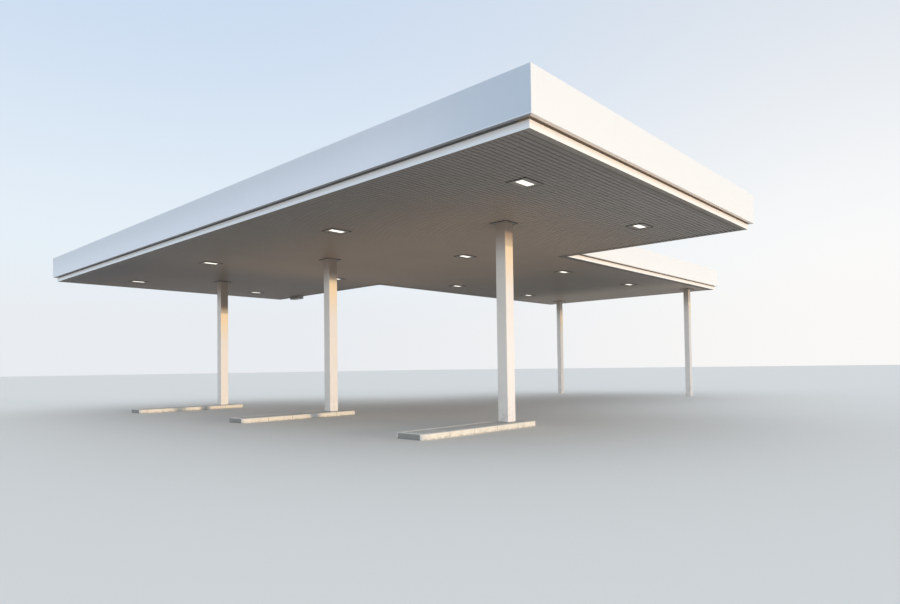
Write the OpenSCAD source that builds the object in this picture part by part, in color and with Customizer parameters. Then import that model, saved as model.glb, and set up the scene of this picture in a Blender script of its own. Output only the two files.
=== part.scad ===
// Filling station canopy: a wide flat roof on three columns, with a narrower link
// roof behind it on two lighter columns. Millimetres, ground at z = 0, origin at the
// centre of the plan. The long front edge faces -Y and the link roof runs out to +Y.

/* [Roof plan] */
// Length of the main roof, measured on its trim line
main_len = 23360; // [20000:10:27000]
// Depth of the main roof, front to rear
main_wid = 10360; // [9800:10:12000]
// Width of the link roof
link_wid = 9650; // [9000:10:12000]
// Reach of the link roof behind the main roof
link_len = 13540; // [13000:10:18000]
// Distance from the right end of the main roof to the link roof
link_inset = 5780; // [3000:10:7000]

/* [Heights] */
// Height of the soffit above the ground
soffit_h = 5250; // [4500:10:6500]
// Height of the white trim under the shadow gap
trim_h = 140; // [100:5:200]
// Height of the shadow gap between trim and fascia
gap_h = 25; // [15:1:60]
// Height of the fascia panels
fascia_h = 782; // [600:1:1200]

/* [Roof edge] */
// How far the fascia stands out from the trim
fascia_out = 125; // [110:1:180]
// Depth of the folded fascia panel
fascia_d = 80; // [50:1:85]
// Thickness of the fascia sheet
fascia_t = 4; // [3:0.5:8]
// Width of the lips on the back of the fascia panel
fascia_lip = 30; // [20:1:50]
// Thickness of the folded trims, liners, flanges and cappings
sheet_t = 3; // [2:0.5:4]
// Width of the flat margin round the ribbed soffit
margin_w = 240; // [150:5:400]
// Depth of the dark cavity behind the shadow gap
cavity_h = 50; // [40:1:80]
// Width of the capping's inner edge
capping_drip = 40; // [25:1:60]
// Side of the square posts that carry the fascia
post_s = 80; // [60:5:90]
// Greatest spacing of the fascia posts
post_pitch = 2400; // [1500:100:3500]
// Distance of the end posts from the corners of the roof
post_inset = 400; // [250:10:800]

/* [Soffit] */
// Spacing of the soffit grooves
groove_pitch = 115; // [80:1:200]
// Width of a groove at its mouth
groove_w = 40; // [20:1:60]
// Width of a groove at its floor
groove_floor = 22; // [10:1:40]
// Depth of a groove
groove_d = 28; // [12:1:30]
// Thickness of the soffit panels
panel_t = 34; // [32:1:45]
// Height of the ceiling rails above the soffit panels
rail_h = 40; // [30:1:60]
// Number of ceiling rails across the main roof
main_rails = 5; // [3:1:5]
// Number of ceiling rails across the link roof
link_rails = 6; // [4:1:6]

/* [Columns] */
// Side of the three main columns
col_s = 320; // [250:5:400]
// Side of the two link columns
link_col_s = 250; // [200:5:320]
// Wall of the columns
col_wall = 12; // [8:1:20]
// Outer corner radius of the columns
col_r = 16; // [8:1:24]
// Thickness of the cap and foot plates in the columns
col_plate = 25; // [15:1:40]
// Spacing of the main columns
col_pitch = 7400; // [6500:10:8500]
// Distance from the front trim line to the main columns
col_row = 4890; // [4500:10:5100]
// Spacing of the link columns
link_col_pitch = 7350; // [6500:10:7800]
// Distance from the right edge of the link roof to its first column
link_col_inset = 890; // [700:10:1200]
// Distance from the end of the link roof to its columns
link_col_end = 1220; // [900:10:1600]
// Side of the square plate round a column head
collar_s = 515; // [480:5:700]

/* [Lights] */
// Width of a light, left to right
light_w = 480; // [400:5:600]
// Length of a light, front to rear
light_l = 610; // [500:5:700]
// Width of the bright opening
lens_w = 190; // [150:5:300]
// Length of the bright opening
lens_l = 440; // [300:5:480]
// Height of the light's housing above the soffit
light_h = 110; // [80:5:140]
// Thickness of the diffuser
lens_t = 5; // [3:0.5:8]
// How far the diffuser laps over the edge of its opening
lens_lap = 15; // [5:1:30]
// Distance of the outer lights from the middle of the main roof
light_x_outer = 9730; // [9000:10:9800]
// Distance of the inner lights from the middle of the main roof
light_x_inner = 3530; // [3000:10:4500]
// How far the front row of lights is shifted to the right
light_shift = 160; // [0:10:400]
// Distance of the front row of lights from the front trim line
light_row_front = 2360; // [2100:10:2700]
// Distance of the rear row of lights from the front trim line
light_row_rear = 7800; // [7500:10:8000]
// Distance of the link lights from the middle of the link roof
light_x_link = 2820; // [2500:10:3000]
// Distance of the first link row from the main roof's rear trim line
light_row_link = 2910; // [2600:10:3000]
// Spacing of the two link rows
light_pitch_link = 5530; // [5300:10:5700]

/* [Steel frame] */
// Depth of the edge channels and girders
edge_beam_h = 300; // [250:5:350]
// Width of the flanges of the edge channels
edge_beam_w = 100; // [80:5:120]
// Depth of the spine beam over the main columns
spine_h = 457; // [420:1:600]
// Width of the flanges of the spine beam and girders
flange_w = 190; // [150:5:240]
// Thickness of the flanges
flange_t = 14; // [10:1:20]
// Thickness of the webs
web_t = 10; // [8:1:16]
// Height of the link rafters at the ridge
link_ridge_h = 200; // [180:5:260]
// Height of the link rafters at the eaves
link_eaves_h = 80; // [60:5:120]
// Height of the purlins
purlin_h = 140; // [100:5:180]
// Width of the purlins
purlin_w = 60; // [50:5:80]
// Greatest spacing of the purlins
purlin_pitch = 1300; // [1000:50:1800]
// Greatest spacing of the link rafters
rafter_pitch = 3400; // [2800:100:4000]

/* [Roof deck] */
// Spacing of the deck's ribs
deck_pitch = 250; // [200:5:333]
// Height of the deck's ribs
deck_h = 35; // [25:1:45]
// Thickness of the deck sheet
deck_t = 2; // [1.5:0.5:3]
// How far the deck reaches over the gutters
deck_over = 60; // [0:5:100]
// Width of the gutters
gutter_w = 180; // [140:5:200]
// Height of the gutters
gutter_h = 120; // [80:5:140]
// Half width of the ridge flashings
ridge_w = 150; // [100:5:250]

/* [Plinths] */
// Width of a kerbed plinth
plinth_w = 900; // [700:10:1400]
// Height of a plinth
plinth_h = 130; // [100:5:180]
// Distance from the front trim line to the front end of a plinth
plinth_front = 1400; // [1000:10:2000]
// Distance from the front trim line to the rear end of a plinth
plinth_rear = 5600; // [5400:10:6500]
// Width of the kerb
kerb_w = 125; // [100:5:150]
// Radius of the plinth's corners in plan
kerb_r = 140; // [130:5:300]
// Radius of the kerb's rounded top edge
kerb_nose = 20; // [10:1:40]
// How far the filling lies below the kerb
infill_drop = 4; // [0:1:15]

/* [Small housing] */
// Length of the housing under the rear margin
housing_l = 740; // [300:10:900]
// Width of the housing
housing_w = 300; // [150:10:320]
// Depth of the housing
housing_h = 130; // [80:5:200]
// Distance of the housing's middle from the left end of the main roof
housing_x = 1730; // [1000:10:3000]

/* [Hidden] */
// Clearance round columns where they pass through another piece
fit = 0.3;
// Clearance round columns and lights in the soffit panels
cutout_gap = 10;
// Depth of the edge steel behind the trim line
steel_in = 35;
// How far a mitre cut reaches past the roof edge
reach = 600;
circle_fn = 64;

front_y = -(main_wid + link_len) / 2;
rear_y = front_y + main_wid;
end_y = rear_y + link_len;
link_x1 = main_len / 2 - link_inset;
link_x0 = link_x1 - link_wid;
link_mid_x = (link_x0 + link_x1) / 2;

panel_z = soffit_h + sheet_t;
rail_z = panel_z + panel_t;
steel_z = rail_z + rail_h;
trim_top = soffit_h + trim_h;
fascia_z = trim_top + gap_h;
fascia_top = fascia_z + fascia_h;
cavity_top = trim_top + cavity_h;
edge_top = steel_z + edge_beam_h;
spine_top = steel_z + spine_h;
steel_t = steel_in + edge_beam_w;

col_y = front_y + col_row;
col_xy = [for (k = [-1:1]) [k * col_pitch, col_y]];
link_col_x1 = link_x1 - link_col_inset;
link_col_xy = [for (k = [1, 0]) [link_col_x1 - k * link_col_pitch, end_y - link_col_end]];

// Rafter lines, and how far the main rafters run from the spine to the edge steel
end_rafter_x = main_len / 2 - steel_t - flange_w / 2;
rafter_x = [-end_rafter_x, -col_pitch, 0, col_pitch, end_rafter_x];
front_run = col_row - flange_w / 2 - steel_t;
rear_run = main_wid - col_row - flange_w / 2 - steel_t;

// Roof edge seen from the trim line: back of the liner, both sides of the gutter, deck's edge
liner_in = steel_in + sheet_t;
gutter_out = liner_in + sheet_t;
gutter_in = gutter_out + gutter_w;
eaves_in = gutter_in - deck_over;
link_half = link_wid / 2 - gutter_in;
link_rafter_run = link_len - 2 * steel_t - flange_w;
link_rafter_n = ceil(link_rafter_run / rafter_pitch);
link_rafter_y = [for (k = [0:link_rafter_n])
    rear_y + steel_t + flange_w / 2 + k * link_rafter_run / link_rafter_n];

// Slopes of the roof and the length of deck on each
main_fall = spine_h - edge_beam_h;
front_slope = atan(main_fall / front_run);
rear_slope = atan(main_fall / rear_run);
link_slope = atan((link_ridge_h - link_eaves_h) / link_half);
front_deck = (col_row - flange_w / 2 - eaves_in) / cos(front_slope);
rear_deck = (main_wid - col_row - flange_w / 2 - eaves_in) / cos(rear_slope);
link_deck = (link_wid / 2 - eaves_in) / cos(link_slope);
main_roof_len = main_len - 2 * gutter_out;
link_roof_len = link_len - gutter_out + steel_in;
link_roof_mid = rear_y - steel_in + link_roof_len / 2;
// Distance from the ridge line to the deck's upper edge
deck_start = 10;
// Shares of one deck rib: end of its low flat, and both ends of its raised flat
deck_low_end = 0.30;
deck_top_start = 0.42;
deck_top_end = 0.88;

// Joints of the soffit panels lie in the middle of a plank, just outside the inner lights
joint_x = (ceil((light_x_inner + light_shift + light_w / 2) / groove_pitch) + 0.5) * groove_pitch;
soffit_x = main_len / 2 - sheet_t;
soffit_y0 = front_y + sheet_t;
soffit_y1 = rear_y - sheet_t;
// How far a light's flange laps under the soffit
flange_lap = 30;

light_xy = concat(
    [for (row = [[light_row_front, light_shift], [light_row_rear, 0]],
          x = [-light_x_outer, -light_x_inner, light_x_inner, light_x_outer])
        [x + row[1], front_y + row[0]]],
    [for (k = [0, 1], x = [-light_x_link, light_x_link])
        [link_mid_x + x, rear_y + light_row_link + k * light_pitch_link]]);

// Corners of the trim line, clockwise from above, starting at the front left
corners = [
    [-main_len / 2, front_y], [-main_len / 2, rear_y], [link_x0, rear_y], [link_x0, end_y],
    [link_x1, end_y], [link_x1, rear_y], [main_len / 2, rear_y], [main_len / 2, front_y]];
// 1 at a corner that points outwards, -1 at one that points inwards
turns = [1, 1, -1, 1, 1, -1, 1, 1];
left = 0;
rear_left = 1;
link_left = 2;
link_end = 3;
link_right = 4;
rear_right = 5;
right = 6;
front = 7;
main_runs = [left, rear_left, rear_right, right, front];
link_runs = [link_left, link_end, link_right];

function along(i) = corners[(i + 1) % 8] - corners[i];
function run_len(i) = norm(along(i));
function run_angle(i) = atan2(along(i)[1], along(i)[0]);

// Places its children in a run's own frame: X along the run, Y outwards
module on_run(i) {
    translate([corners[i][0], corners[i][1], 0])
        rotate([0, 0, run_angle(i)])
            children();
}

// Sweeps a profile of [outwards, height] points along one run and mitres both ends
module edge_run(i, profile) {
    start = turns[i];
    finish = turns[(i + 1) % 8];
    length = run_len(i);
    on_run(i)
        intersection() {
            translate([-reach, 0, 0])
                rotate([90, 0, 90])
                    linear_extrude(length + 2 * reach)
                        polygon(profile);
            linear_extrude(fascia_top + reach)
                polygon([
                    [start * reach, -reach], [length - finish * reach, -reach],
                    [length + finish * reach, reach], [-start * reach, reach]]);
        }
}

// Profile points of a rectangle between two distances and two heights
function bar(t0, t1, z0, z1) = [[t0, z0], [t1, z0], [t1, z1], [t0, z1]];

function fascia_profile() =
    let (o = fascia_out, b = fascia_out - fascia_d, s = fascia_t, z0 = fascia_z, z1 = fascia_top, l = fascia_lip)
    [[b, z0], [o, z0], [o, z1], [b, z1], [b, z1 - l], [b + s, z1 - l], [b + s, z1 - s],
     [o - s, z1 - s], [o - s, z0 + s], [b + s, z0 + s], [b + s, z0 + l], [b, z0 + l]];

function trim_profile() =
    let (s = sheet_t, z0 = soffit_h, z1 = trim_top)
    [[-s, z0], [0, z0], [0, z1], [-steel_in, z1], [-steel_in, z1 - s], [-s, z1 - s]];

function cavity_profile() =
    let (s = sheet_t, i = -steel_in, o = fascia_out - fascia_d, z0 = trim_top, z1 = cavity_top)
    [[i, z0], [i + s, z0], [i + s, z1 - s], [o, z1 - s], [o, z1], [i, z1]];

function channel_profile() =
    let (i = -steel_t, o = -steel_in, z0 = steel_z, z1 = edge_top, f = flange_t)
    [[i, z0], [o, z0], [o, z1], [i, z1], [i, z1 - f], [o - web_t, z1 - f], [o - web_t, z0 + f], [i, z0 + f]];

function capping_profile() =
    let (s = sheet_t, i = -gutter_out, z0 = fascia_top)
    [[i, z0 - capping_drip], [i + s, z0 - capping_drip], [i + s, z0], [fascia_out, z0],
     [fascia_out, z0 + s], [i, z0 + s]];

function gutter_profile() =
    let (s = sheet_t, o = -gutter_out, i = o - gutter_w, z0 = edge_top, z1 = edge_top + gutter_h)
    [[i, z0], [o, z0], [o, z1], [o - s, z1], [o - s, z0 + s], [i + s, z0 + s], [i + s, z1], [i, z1]];

// I section between two heights, cut in the YZ plane and centred on y
function i_profile(y, z0, z1) =
    let (f = flange_w / 2, w = web_t / 2, t = flange_t)
    [[y - f, z0], [y + f, z0], [y + f, z0 + t], [y + w, z0 + t], [y + w, z1 - t], [y + f, z1 - t],
     [y + f, z1], [y - f, z1], [y - f, z1 - t], [y - w, z1 - t], [y - w, z0 + t], [y - f, z0 + t]];

// C section standing on the slope, cut in the plane across the purlin
function purlin_profile(x) =
    let (s = sheet_t, w = purlin_w / 2, h = purlin_h)
    [[x - w, 0], [x + w, 0], [x + w, s], [x - w + s, s], [x - w + s, h - s], [x + w, h - s], [x + w, h], [x - w, h]];

// Square with rounded corners, centred
module rounded_square(side, r) {
    square([side, side - 2 * r], center = true);
    square([side - 2 * r, side], center = true);
    for (x = [-1, 1], y = [-1, 1])
        translate([x * (side / 2 - r), y * (side / 2 - r)])
            circle(r = r, $fn = circle_fn);
}

module column(xy, side) {
    color("white")
        translate([xy[0], xy[1], 0]) {
            linear_extrude(steel_z)
                difference() {
                    rounded_square(side, col_r);
                    square(side - 2 * col_wall, center = true);
                }
            for (z = [0, steel_z - col_plate])
                translate([0, 0, z])
                    linear_extrude(col_plate)
                        square(side - 2 * col_wall, center = true);
        }
}

module column_1() {
    column(col_xy[0], col_s);
}

module column_2() {
    column(col_xy[1], col_s);
}

module column_3() {
    column(col_xy[2], col_s);
}

module column_4() {
    column(link_col_xy[0], link_col_s);
}

module column_5() {
    column(link_col_xy[1], link_col_s);
}

// Flat plate that closes the soffit round a column head
module collar(xy, side) {
    translate([xy[0], xy[1], soffit_h])
        linear_extrude(sheet_t)
            difference() {
                square(collar_s, center = true);
                rounded_square(side + 2 * fit, col_r + fit);
            }
}

module column_collars() {
    color([0.45, 0.42, 0.4]) {
        for (xy = col_xy)
            collar(xy, col_s);
        for (xy = link_col_xy)
            collar(xy, link_col_s);
    }
}

// Section of the kerb, with the outer top edge rounded; X runs outwards
module kerb_section() {
    difference() {
        square([kerb_w, plinth_h]);
        translate([kerb_w - kerb_nose, plinth_h - kerb_nose])
            difference() {
                square(kerb_nose * 2);
                circle(r = kerb_nose, $fn = circle_fn);
            }
    }
}

// Kerb ring of one plinth: straight lengths with quarter turns at the corners
module plinth_kerb(xy) {
    w = plinth_w - 2 * kerb_r;
    l = plinth_rear - plinth_front - 2 * kerb_r;
    mid_y = front_y + (plinth_front + plinth_rear) / 2;
    color([0.8, 0.78, 0.74])
        translate([xy[0], mid_y, 0])
            for (side = [0:3])
                rotate([0, 0, side * 90]) {
                    run = side % 2 == 0 ? l : w;
                    off = side % 2 == 0 ? w / 2 : l / 2;
                    translate([off + kerb_r - kerb_w, run / 2, 0])
                        rotate([90, 0, 0])
                            linear_extrude(run)
                                kerb_section();
                    translate([off, run / 2, 0])
                        rotate_extrude(angle = 90, $fn = circle_fn)
                            translate([kerb_r - kerb_w, 0])
                                kerb_section();
                }
}

module plinth_kerb_1() {
    plinth_kerb(col_xy[0]);
}

module plinth_kerb_2() {
    plinth_kerb(col_xy[1]);
}

module plinth_kerb_3() {
    plinth_kerb(col_xy[2]);
}

// Concrete filling inside the kerb rings, cast round the columns
module plinth_infill() {
    w = plinth_w - 2 * kerb_w - 2 * fit;
    l = plinth_rear - plinth_front - 2 * kerb_w - 2 * fit;
    r = kerb_r - kerb_w - fit;
    mid_y = front_y + (plinth_front + plinth_rear) / 2;
    color([0.7, 0.69, 0.66])
        for (xy = col_xy)
            linear_extrude(plinth_h - infill_drop)
                difference() {
                    translate([xy[0], mid_y]) {
                        square([w, l - 2 * r], center = true);
                        square([w - 2 * r, l], center = true);
                        for (x = [-1, 1], y = [-1, 1])
                            translate([x * (w / 2 - r), y * (l / 2 - r)])
                                circle(r = r, $fn = circle_fn);
                    }
                    translate(xy)
                        rounded_square(col_s + 2 * fit, col_r + fit);
                }
}

// Spine beam over the three main columns, stiffened where the rafters meet it
module spine_beam() {
    length = main_len - 2 * steel_t;
    color([0.55, 0.57, 0.6]) {
        translate([-length / 2, 0, 0])
            rotate([90, 0, 90])
                linear_extrude(length)
                    polygon(i_profile(col_y, steel_z, spine_top));
        for (x = rafter_x, s = [-1, 1])
            translate([x - web_t / 2, col_y + s * (flange_w + web_t) / 4 - (flange_w - web_t) / 4, steel_z + flange_t])
                cube([web_t, (flange_w - web_t) / 2, spine_h - 2 * flange_t]);
    }
}

// Tapered I beam that leaves the spine along +Y, deep at the spine and shallow at the eaves
module tapered_rafter(run) {
    d0 = spine_h;
    d1 = edge_beam_h;
    rotate([90, 0, 90]) {
        translate([0, 0, -flange_w / 2])
            linear_extrude(flange_w) {
                square([run, flange_t]);
                polygon([[0, d0 - flange_t], [run, d1 - flange_t], [run, d1], [0, d0]]);
            }
        translate([0, 0, -web_t / 2])
            linear_extrude(web_t)
                polygon([[0, flange_t], [run, flange_t], [run, d1 - flange_t], [0, d0 - flange_t]]);
    }
}

module rafters() {
    color([0.55, 0.57, 0.6])
        for (x = rafter_x) {
            translate([x, col_y - flange_w / 2, steel_z])
                mirror([0, 1, 0])
                    tapered_rafter(front_run);
            translate([x, col_y + flange_w / 2, steel_z])
                tapered_rafter(rear_run);
        }
}

// Channels round the roof edge, and the trimmer across the mouth of the link roof
module edge_channels() {
    color([0.55, 0.57, 0.6]) {
        for (i = [0:7])
            edge_run(i, channel_profile());
        translate([link_x0 + steel_t, rear_y, 0])
            rotate([90, 0, 90])
                linear_extrude(link_wid - 2 * steel_t)
                    polygon(channel_profile());
    }
}

// Girders that run from the trimmer over the link columns
module link_girders() {
    color([0.55, 0.57, 0.6])
        for (xy = link_col_xy)
            translate([xy[0], end_y - steel_t, 0])
                rotate([90, 0, 0])
                    linear_extrude(link_len - steel_t + steel_in)
                        polygon(i_profile(0, steel_z, edge_top));
}

// Low rafters across the link girders, highest at the ridge
module link_rafters() {
    color([0.55, 0.57, 0.6])
        for (y = link_rafter_y)
            translate([link_mid_x, y, edge_top])
                rotate([90, 0, 0]) {
                    t = flange_t;
                    e = link_eaves_h;
                    r = link_ridge_h;
                    translate([0, 0, -flange_w / 2])
                        linear_extrude(flange_w) {
                            translate([-link_half, 0])
                                square([2 * link_half, t]);
                            polygon([[-link_half, e - t], [0, r - t], [link_half, e - t],
                                [link_half, e], [0, r], [-link_half, e]]);
                        }
                    translate([0, 0, -web_t / 2])
                        linear_extrude(web_t)
                            polygon([[-link_half, t], [link_half, t], [link_half, e - t], [0, r - t], [-link_half, e - t]]);
                }
}

// Frames of the slopes: they leave the ridge along +Y and fall with it
module on_front_slope() {
    translate([0, col_y - flange_w / 2, spine_top])
        rotate([0, 0, 180])
            rotate([-front_slope, 0, 0])
                children();
}

module on_rear_slope() {
    translate([0, col_y + flange_w / 2, spine_top])
        rotate([-rear_slope, 0, 0])
            children();
}

// The link slopes fall left (side = 1) and right (side = -1) of the ridge
module on_link_slope(side) {
    translate([link_mid_x, link_roof_mid, edge_top + link_ridge_h])
        rotate([0, 0, side * 90])
            rotate([-link_slope, 0, 0])
                children();
}

// Purlins across one slope, evenly spaced from just below the ridge to the eaves
module purlin_rows(length, run) {
    first = flange_w;
    last = run - purlin_w;
    n = ceil((last - first) / purlin_pitch);
    for (k = [0:n])
        translate([-length / 2, 0, 0])
            rotate([90, 0, 90])
                linear_extrude(length)
                    polygon(purlin_profile(first + k * (last - first) / n));
}

module purlins() {
    color([0.7, 0.72, 0.74]) {
        on_front_slope()
            purlin_rows(main_roof_len, front_run + steel_t - gutter_in);
        on_rear_slope()
            purlin_rows(main_roof_len, rear_run + steel_t - gutter_in);
        for (side = [1, -1])
            on_link_slope(side)
                purlin_rows(link_roof_len, link_half);
    }
}

// Outline of a trapezoidal sheet of the given length, ribs upwards
function deck_wave(length, n, z) =
    let (p = length / n)
    [for (k = [0:n - 1], q = [[0, 0], [deck_low_end, 0], [deck_top_start, 1], [deck_top_end, 1]])
        [-length / 2 + (k + q[0]) * p, z + q[1] * (deck_h - deck_t)]];

module deck_sheet(length, run) {
    n = round(length / deck_pitch);
    over = concat(deck_wave(length, n, deck_t), [[length / 2, deck_t]]);
    under = concat(deck_wave(length, n, 0), [[length / 2, 0]]);
    color([0.78, 0.8, 0.82])
        translate([0, run, purlin_h])
            rotate([90, 0, 0])
                linear_extrude(run - deck_start)
                    polygon(concat(under, [for (k = [len(over) - 1:-1:0]) over[k]]));
}

module roof_deck_front() {
    on_front_slope()
        deck_sheet(main_roof_len, front_deck);
}

module roof_deck_rear() {
    on_rear_slope()
        deck_sheet(main_roof_len, rear_deck);
}

module roof_deck_link() {
    for (side = [1, -1])
        on_link_slope(side)
            deck_sheet(link_roof_len, link_deck);
}

// Folded sheet over a ridge, lying on the deck ribs of both slopes; flat is half the level part
module ridge_cap(length, slope_a, slope_b, flat) {
    h = purlin_h + deck_h;
    a = h / cos(slope_a);
    b = h / cos(slope_b);
    peak = max(a, b);
    under = [[-flat - ridge_w, a - ridge_w * tan(slope_a)], [-flat, peak], [flat, peak],
        [flat + ridge_w, b - ridge_w * tan(slope_b)]];
    rotate([90, 0, 90])
        translate([0, 0, -length / 2])
            linear_extrude(length)
                polygon(concat(under, [for (k = [3:-1:0]) under[k] + [0, sheet_t]]));
}

module ridge_flashings() {
    color([0.75, 0.77, 0.79]) {
        translate([0, col_y, spine_top])
            ridge_cap(main_roof_len, front_slope, rear_slope, flange_w / 2);
        translate([link_mid_x, link_roof_mid, edge_top + link_ridge_h])
            rotate([0, 0, 90])
                ridge_cap(link_roof_len, link_slope, link_slope, deck_start);
    }
}

// Box gutters along the low edges of both roofs
module gutters() {
    color([0.72, 0.74, 0.76]) {
        for (y = [front_y, rear_y], s = [y == front_y ? -1 : 1])
            translate([-main_roof_len / 2, y, 0])
                rotate([90, 0, 90])
                    linear_extrude(main_roof_len)
                        polygon([for (p = gutter_profile()) [s * p[0], p[1]]]);
        for (x = [link_x0, link_x1], s = [x == link_x0 ? -1 : 1])
            translate([x, link_roof_mid + link_roof_len / 2, 0])
                rotate([90, 0, 0])
                    linear_extrude(link_roof_len)
                        polygon([for (p = gutter_profile()) [s * p[0], p[1]]]);
    }
}

// Sheet that lines the back of the parapet, from the edge steel to the capping, and the
// lower upstand that closes the front end of the link roof
module parapet_liner() {
    color([0.8, 0.82, 0.84]) {
        for (i = [0:7])
            edge_run(i, bar(-liner_in, -steel_in, edge_top, fascia_top));
        translate([link_x0 + liner_in, rear_y - liner_in, edge_top])
            cube([link_wid - 2 * liner_in, sheet_t, link_ridge_h + purlin_h + 2 * deck_h]);
    }
}

module parapet_capping() {
    color([0.93, 0.94, 0.95])
        for (i = [0:7])
            edge_run(i, capping_profile());
}

module fascia(i) {
    color([0.93, 0.94, 0.95])
        edge_run(i, fascia_profile());
}

module fascia_left() {
    fascia(left);
}

module fascia_right() {
    fascia(right);
}

module fascia_front() {
    fascia(front);
}

module fascia_rear_left() {
    fascia(rear_left);
}

module fascia_rear_right() {
    fascia(rear_right);
}

module link_fascia_left() {
    fascia(link_left);
}

module link_fascia_right() {
    fascia(link_right);
}

module link_fascia_end() {
    fascia(link_end);
}

// Square posts on the edge steel that hold the fascia, evenly spaced on each run
module fascia_posts() {
    front_face = fascia_out - fascia_d;
    color([0.55, 0.57, 0.6])
        for (i = [0:7])
            on_run(i) {
                run = run_len(i) - 2 * post_inset;
                n = ceil(run / post_pitch);
                for (k = [0:n])
                    translate([post_inset + k * run / n - post_s / 2, -steel_in, cavity_top])
                        difference() {
                            cube([post_s, front_face + steel_in, fascia_top - cavity_top]);
                            translate([sheet_t, sheet_t, sheet_t])
                                cube([post_s - 2 * sheet_t, front_face + steel_in - 2 * sheet_t,
                                    fascia_top - cavity_top - 2 * sheet_t]);
                        }
            }
}

module trim_main() {
    color("white")
        for (i = main_runs)
            edge_run(i, trim_profile());
}

module trim_link() {
    color("white")
        for (i = link_runs)
            edge_run(i, trim_profile());
}

// Dark sheet that closes the cavity behind the shadow gap
module shadow_gap_liner() {
    color([0.25, 0.22, 0.2])
        for (i = [0:7])
            edge_run(i, cavity_profile());
}

// Ribbed soffit panel between two x positions: flat planks with splayed grooves between them
module soffit_panel(x0, x1, y0, y1) {
    g = groove_w / 2;
    f = groove_floor / 2;
    first = ceil((x0 + g) / groove_pitch);
    last = floor((x1 - g) / groove_pitch);
    grooves = [for (k = [first:last], q = [[-g, 0], [-f, groove_d], [f, groove_d], [g, 0]])
        [k * groove_pitch + q[0], q[1]]];
    color([0.45, 0.42, 0.4])
        translate([0, 0, panel_z])
            difference() {
                translate([0, y1, 0])
                    rotate([90, 0, 0])
                        linear_extrude(y1 - y0)
                            polygon(concat([[x0, 0]], grooves, [[x1, 0], [x1, panel_t], [x0, panel_t]]));
                for (xy = light_xy)
                    if (xy[0] > x0 && xy[0] < x1 && xy[1] > y0 && xy[1] < y1)
                        cutout(xy, light_w - 2 * flange_lap, light_l - 2 * flange_lap);
                for (xy = col_xy)
                    if (xy[0] > x0 && xy[0] < x1 && xy[1] > y0 && xy[1] < y1)
                        cutout(xy, col_s + 2 * cutout_gap, col_s + 2 * cutout_gap);
                for (xy = link_col_xy)
                    if (xy[0] > x0 && xy[0] < x1 && xy[1] > y0 && xy[1] < y1)
                        cutout(xy, link_col_s + 2 * cutout_gap, link_col_s + 2 * cutout_gap);
            }
}

// Square hole through a soffit panel
module cutout(xy, w, l) {
    translate([xy[0] - w / 2, xy[1] - l / 2, -panel_t])
        cube([w, l, 3 * panel_t]);
}

module soffit_left() {
    soffit_panel(-soffit_x, -joint_x, soffit_y0, soffit_y1);
}

module soffit_middle() {
    soffit_panel(-joint_x, joint_x, soffit_y0, soffit_y1);
}

module soffit_right() {
    soffit_panel(joint_x, soffit_x, soffit_y0, soffit_y1);
}

module soffit_link() {
    soffit_panel(link_x0 + sheet_t, link_x1 - sheet_t, soffit_y1, end_y - sheet_t);
}

module soffit_margin() {
    color([0.47, 0.44, 0.42])
        for (i = [0:7])
            edge_run(i, bar(-margin_w, -sheet_t, soffit_h, soffit_h + sheet_t));
}

// Rails above the panels: one round the edge, the rest across the planks
module ceiling_rails() {
    side = [-steel_in - rail_h, -steel_in];
    color([0.7, 0.72, 0.74]) {
        for (i = [0:7])
            edge_run(i, bar(side[0], side[1], rail_z, steel_z));
        for (k = [1:main_rails])
            translate([-main_len / 2 - side[0], front_y + k * main_wid / (main_rails + 1) - rail_h / 2, rail_z])
                cube([main_len + 2 * side[0], rail_h, rail_h]);
        for (k = [1:link_rails])
            translate([link_x0 - side[0], rear_y + k * link_len / (link_rails + 1) - rail_h / 2, rail_z])
                cube([link_wid + 2 * side[0], rail_h, rail_h]);
    }
}

// Steel box of a light with a flange that laps under the soffit, open at the lens
module light_housings() {
    bw = light_w - 2 * flange_lap - 2 * fit;
    bl = light_l - 2 * flange_lap - 2 * fit;
    color([0.5, 0.48, 0.46])
        for (xy = light_xy)
            translate([xy[0], xy[1], soffit_h])
                difference() {
                    union() {
                        translate([-light_w / 2, -light_l / 2, 0])
                            cube([light_w, light_l, sheet_t]);
                        translate([-bw / 2, -bl / 2, 0])
                            cube([bw, bl, light_h]);
                    }
                    translate([-bw / 2 + sheet_t, -bl / 2 + sheet_t, sheet_t])
                        cube([bw - 2 * sheet_t, bl - 2 * sheet_t, light_h - 2 * sheet_t]);
                    translate([-lens_w / 2, -lens_l / 2, -sheet_t])
                        cube([lens_w, lens_l, 3 * sheet_t]);
                }
}

// Diffusers lying on the housing's inner flange
module light_lenses() {
    color([1, 0.97, 0.9])
        for (xy = light_xy)
            translate([xy[0] - lens_w / 2 - lens_lap, xy[1] - lens_l / 2 - lens_lap, soffit_h + sheet_t])
                cube([lens_w + 2 * lens_lap, lens_l + 2 * lens_lap, lens_t]);
}

// Small closed housing fixed under the rear margin, near the left corner
module edge_housing() {
    wall = 2 * sheet_t;
    color([0.4, 0.38, 0.36])
        translate([-main_len / 2 + housing_x - housing_l / 2, rear_y - sheet_t - housing_w, soffit_h - housing_h])
            difference() {
                cube([housing_l, housing_w, housing_h]);
                translate([wall, wall, wall])
                    cube([housing_l - 2 * wall, housing_w - 2 * wall, housing_h - 2 * wall]);
            }
}

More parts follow.
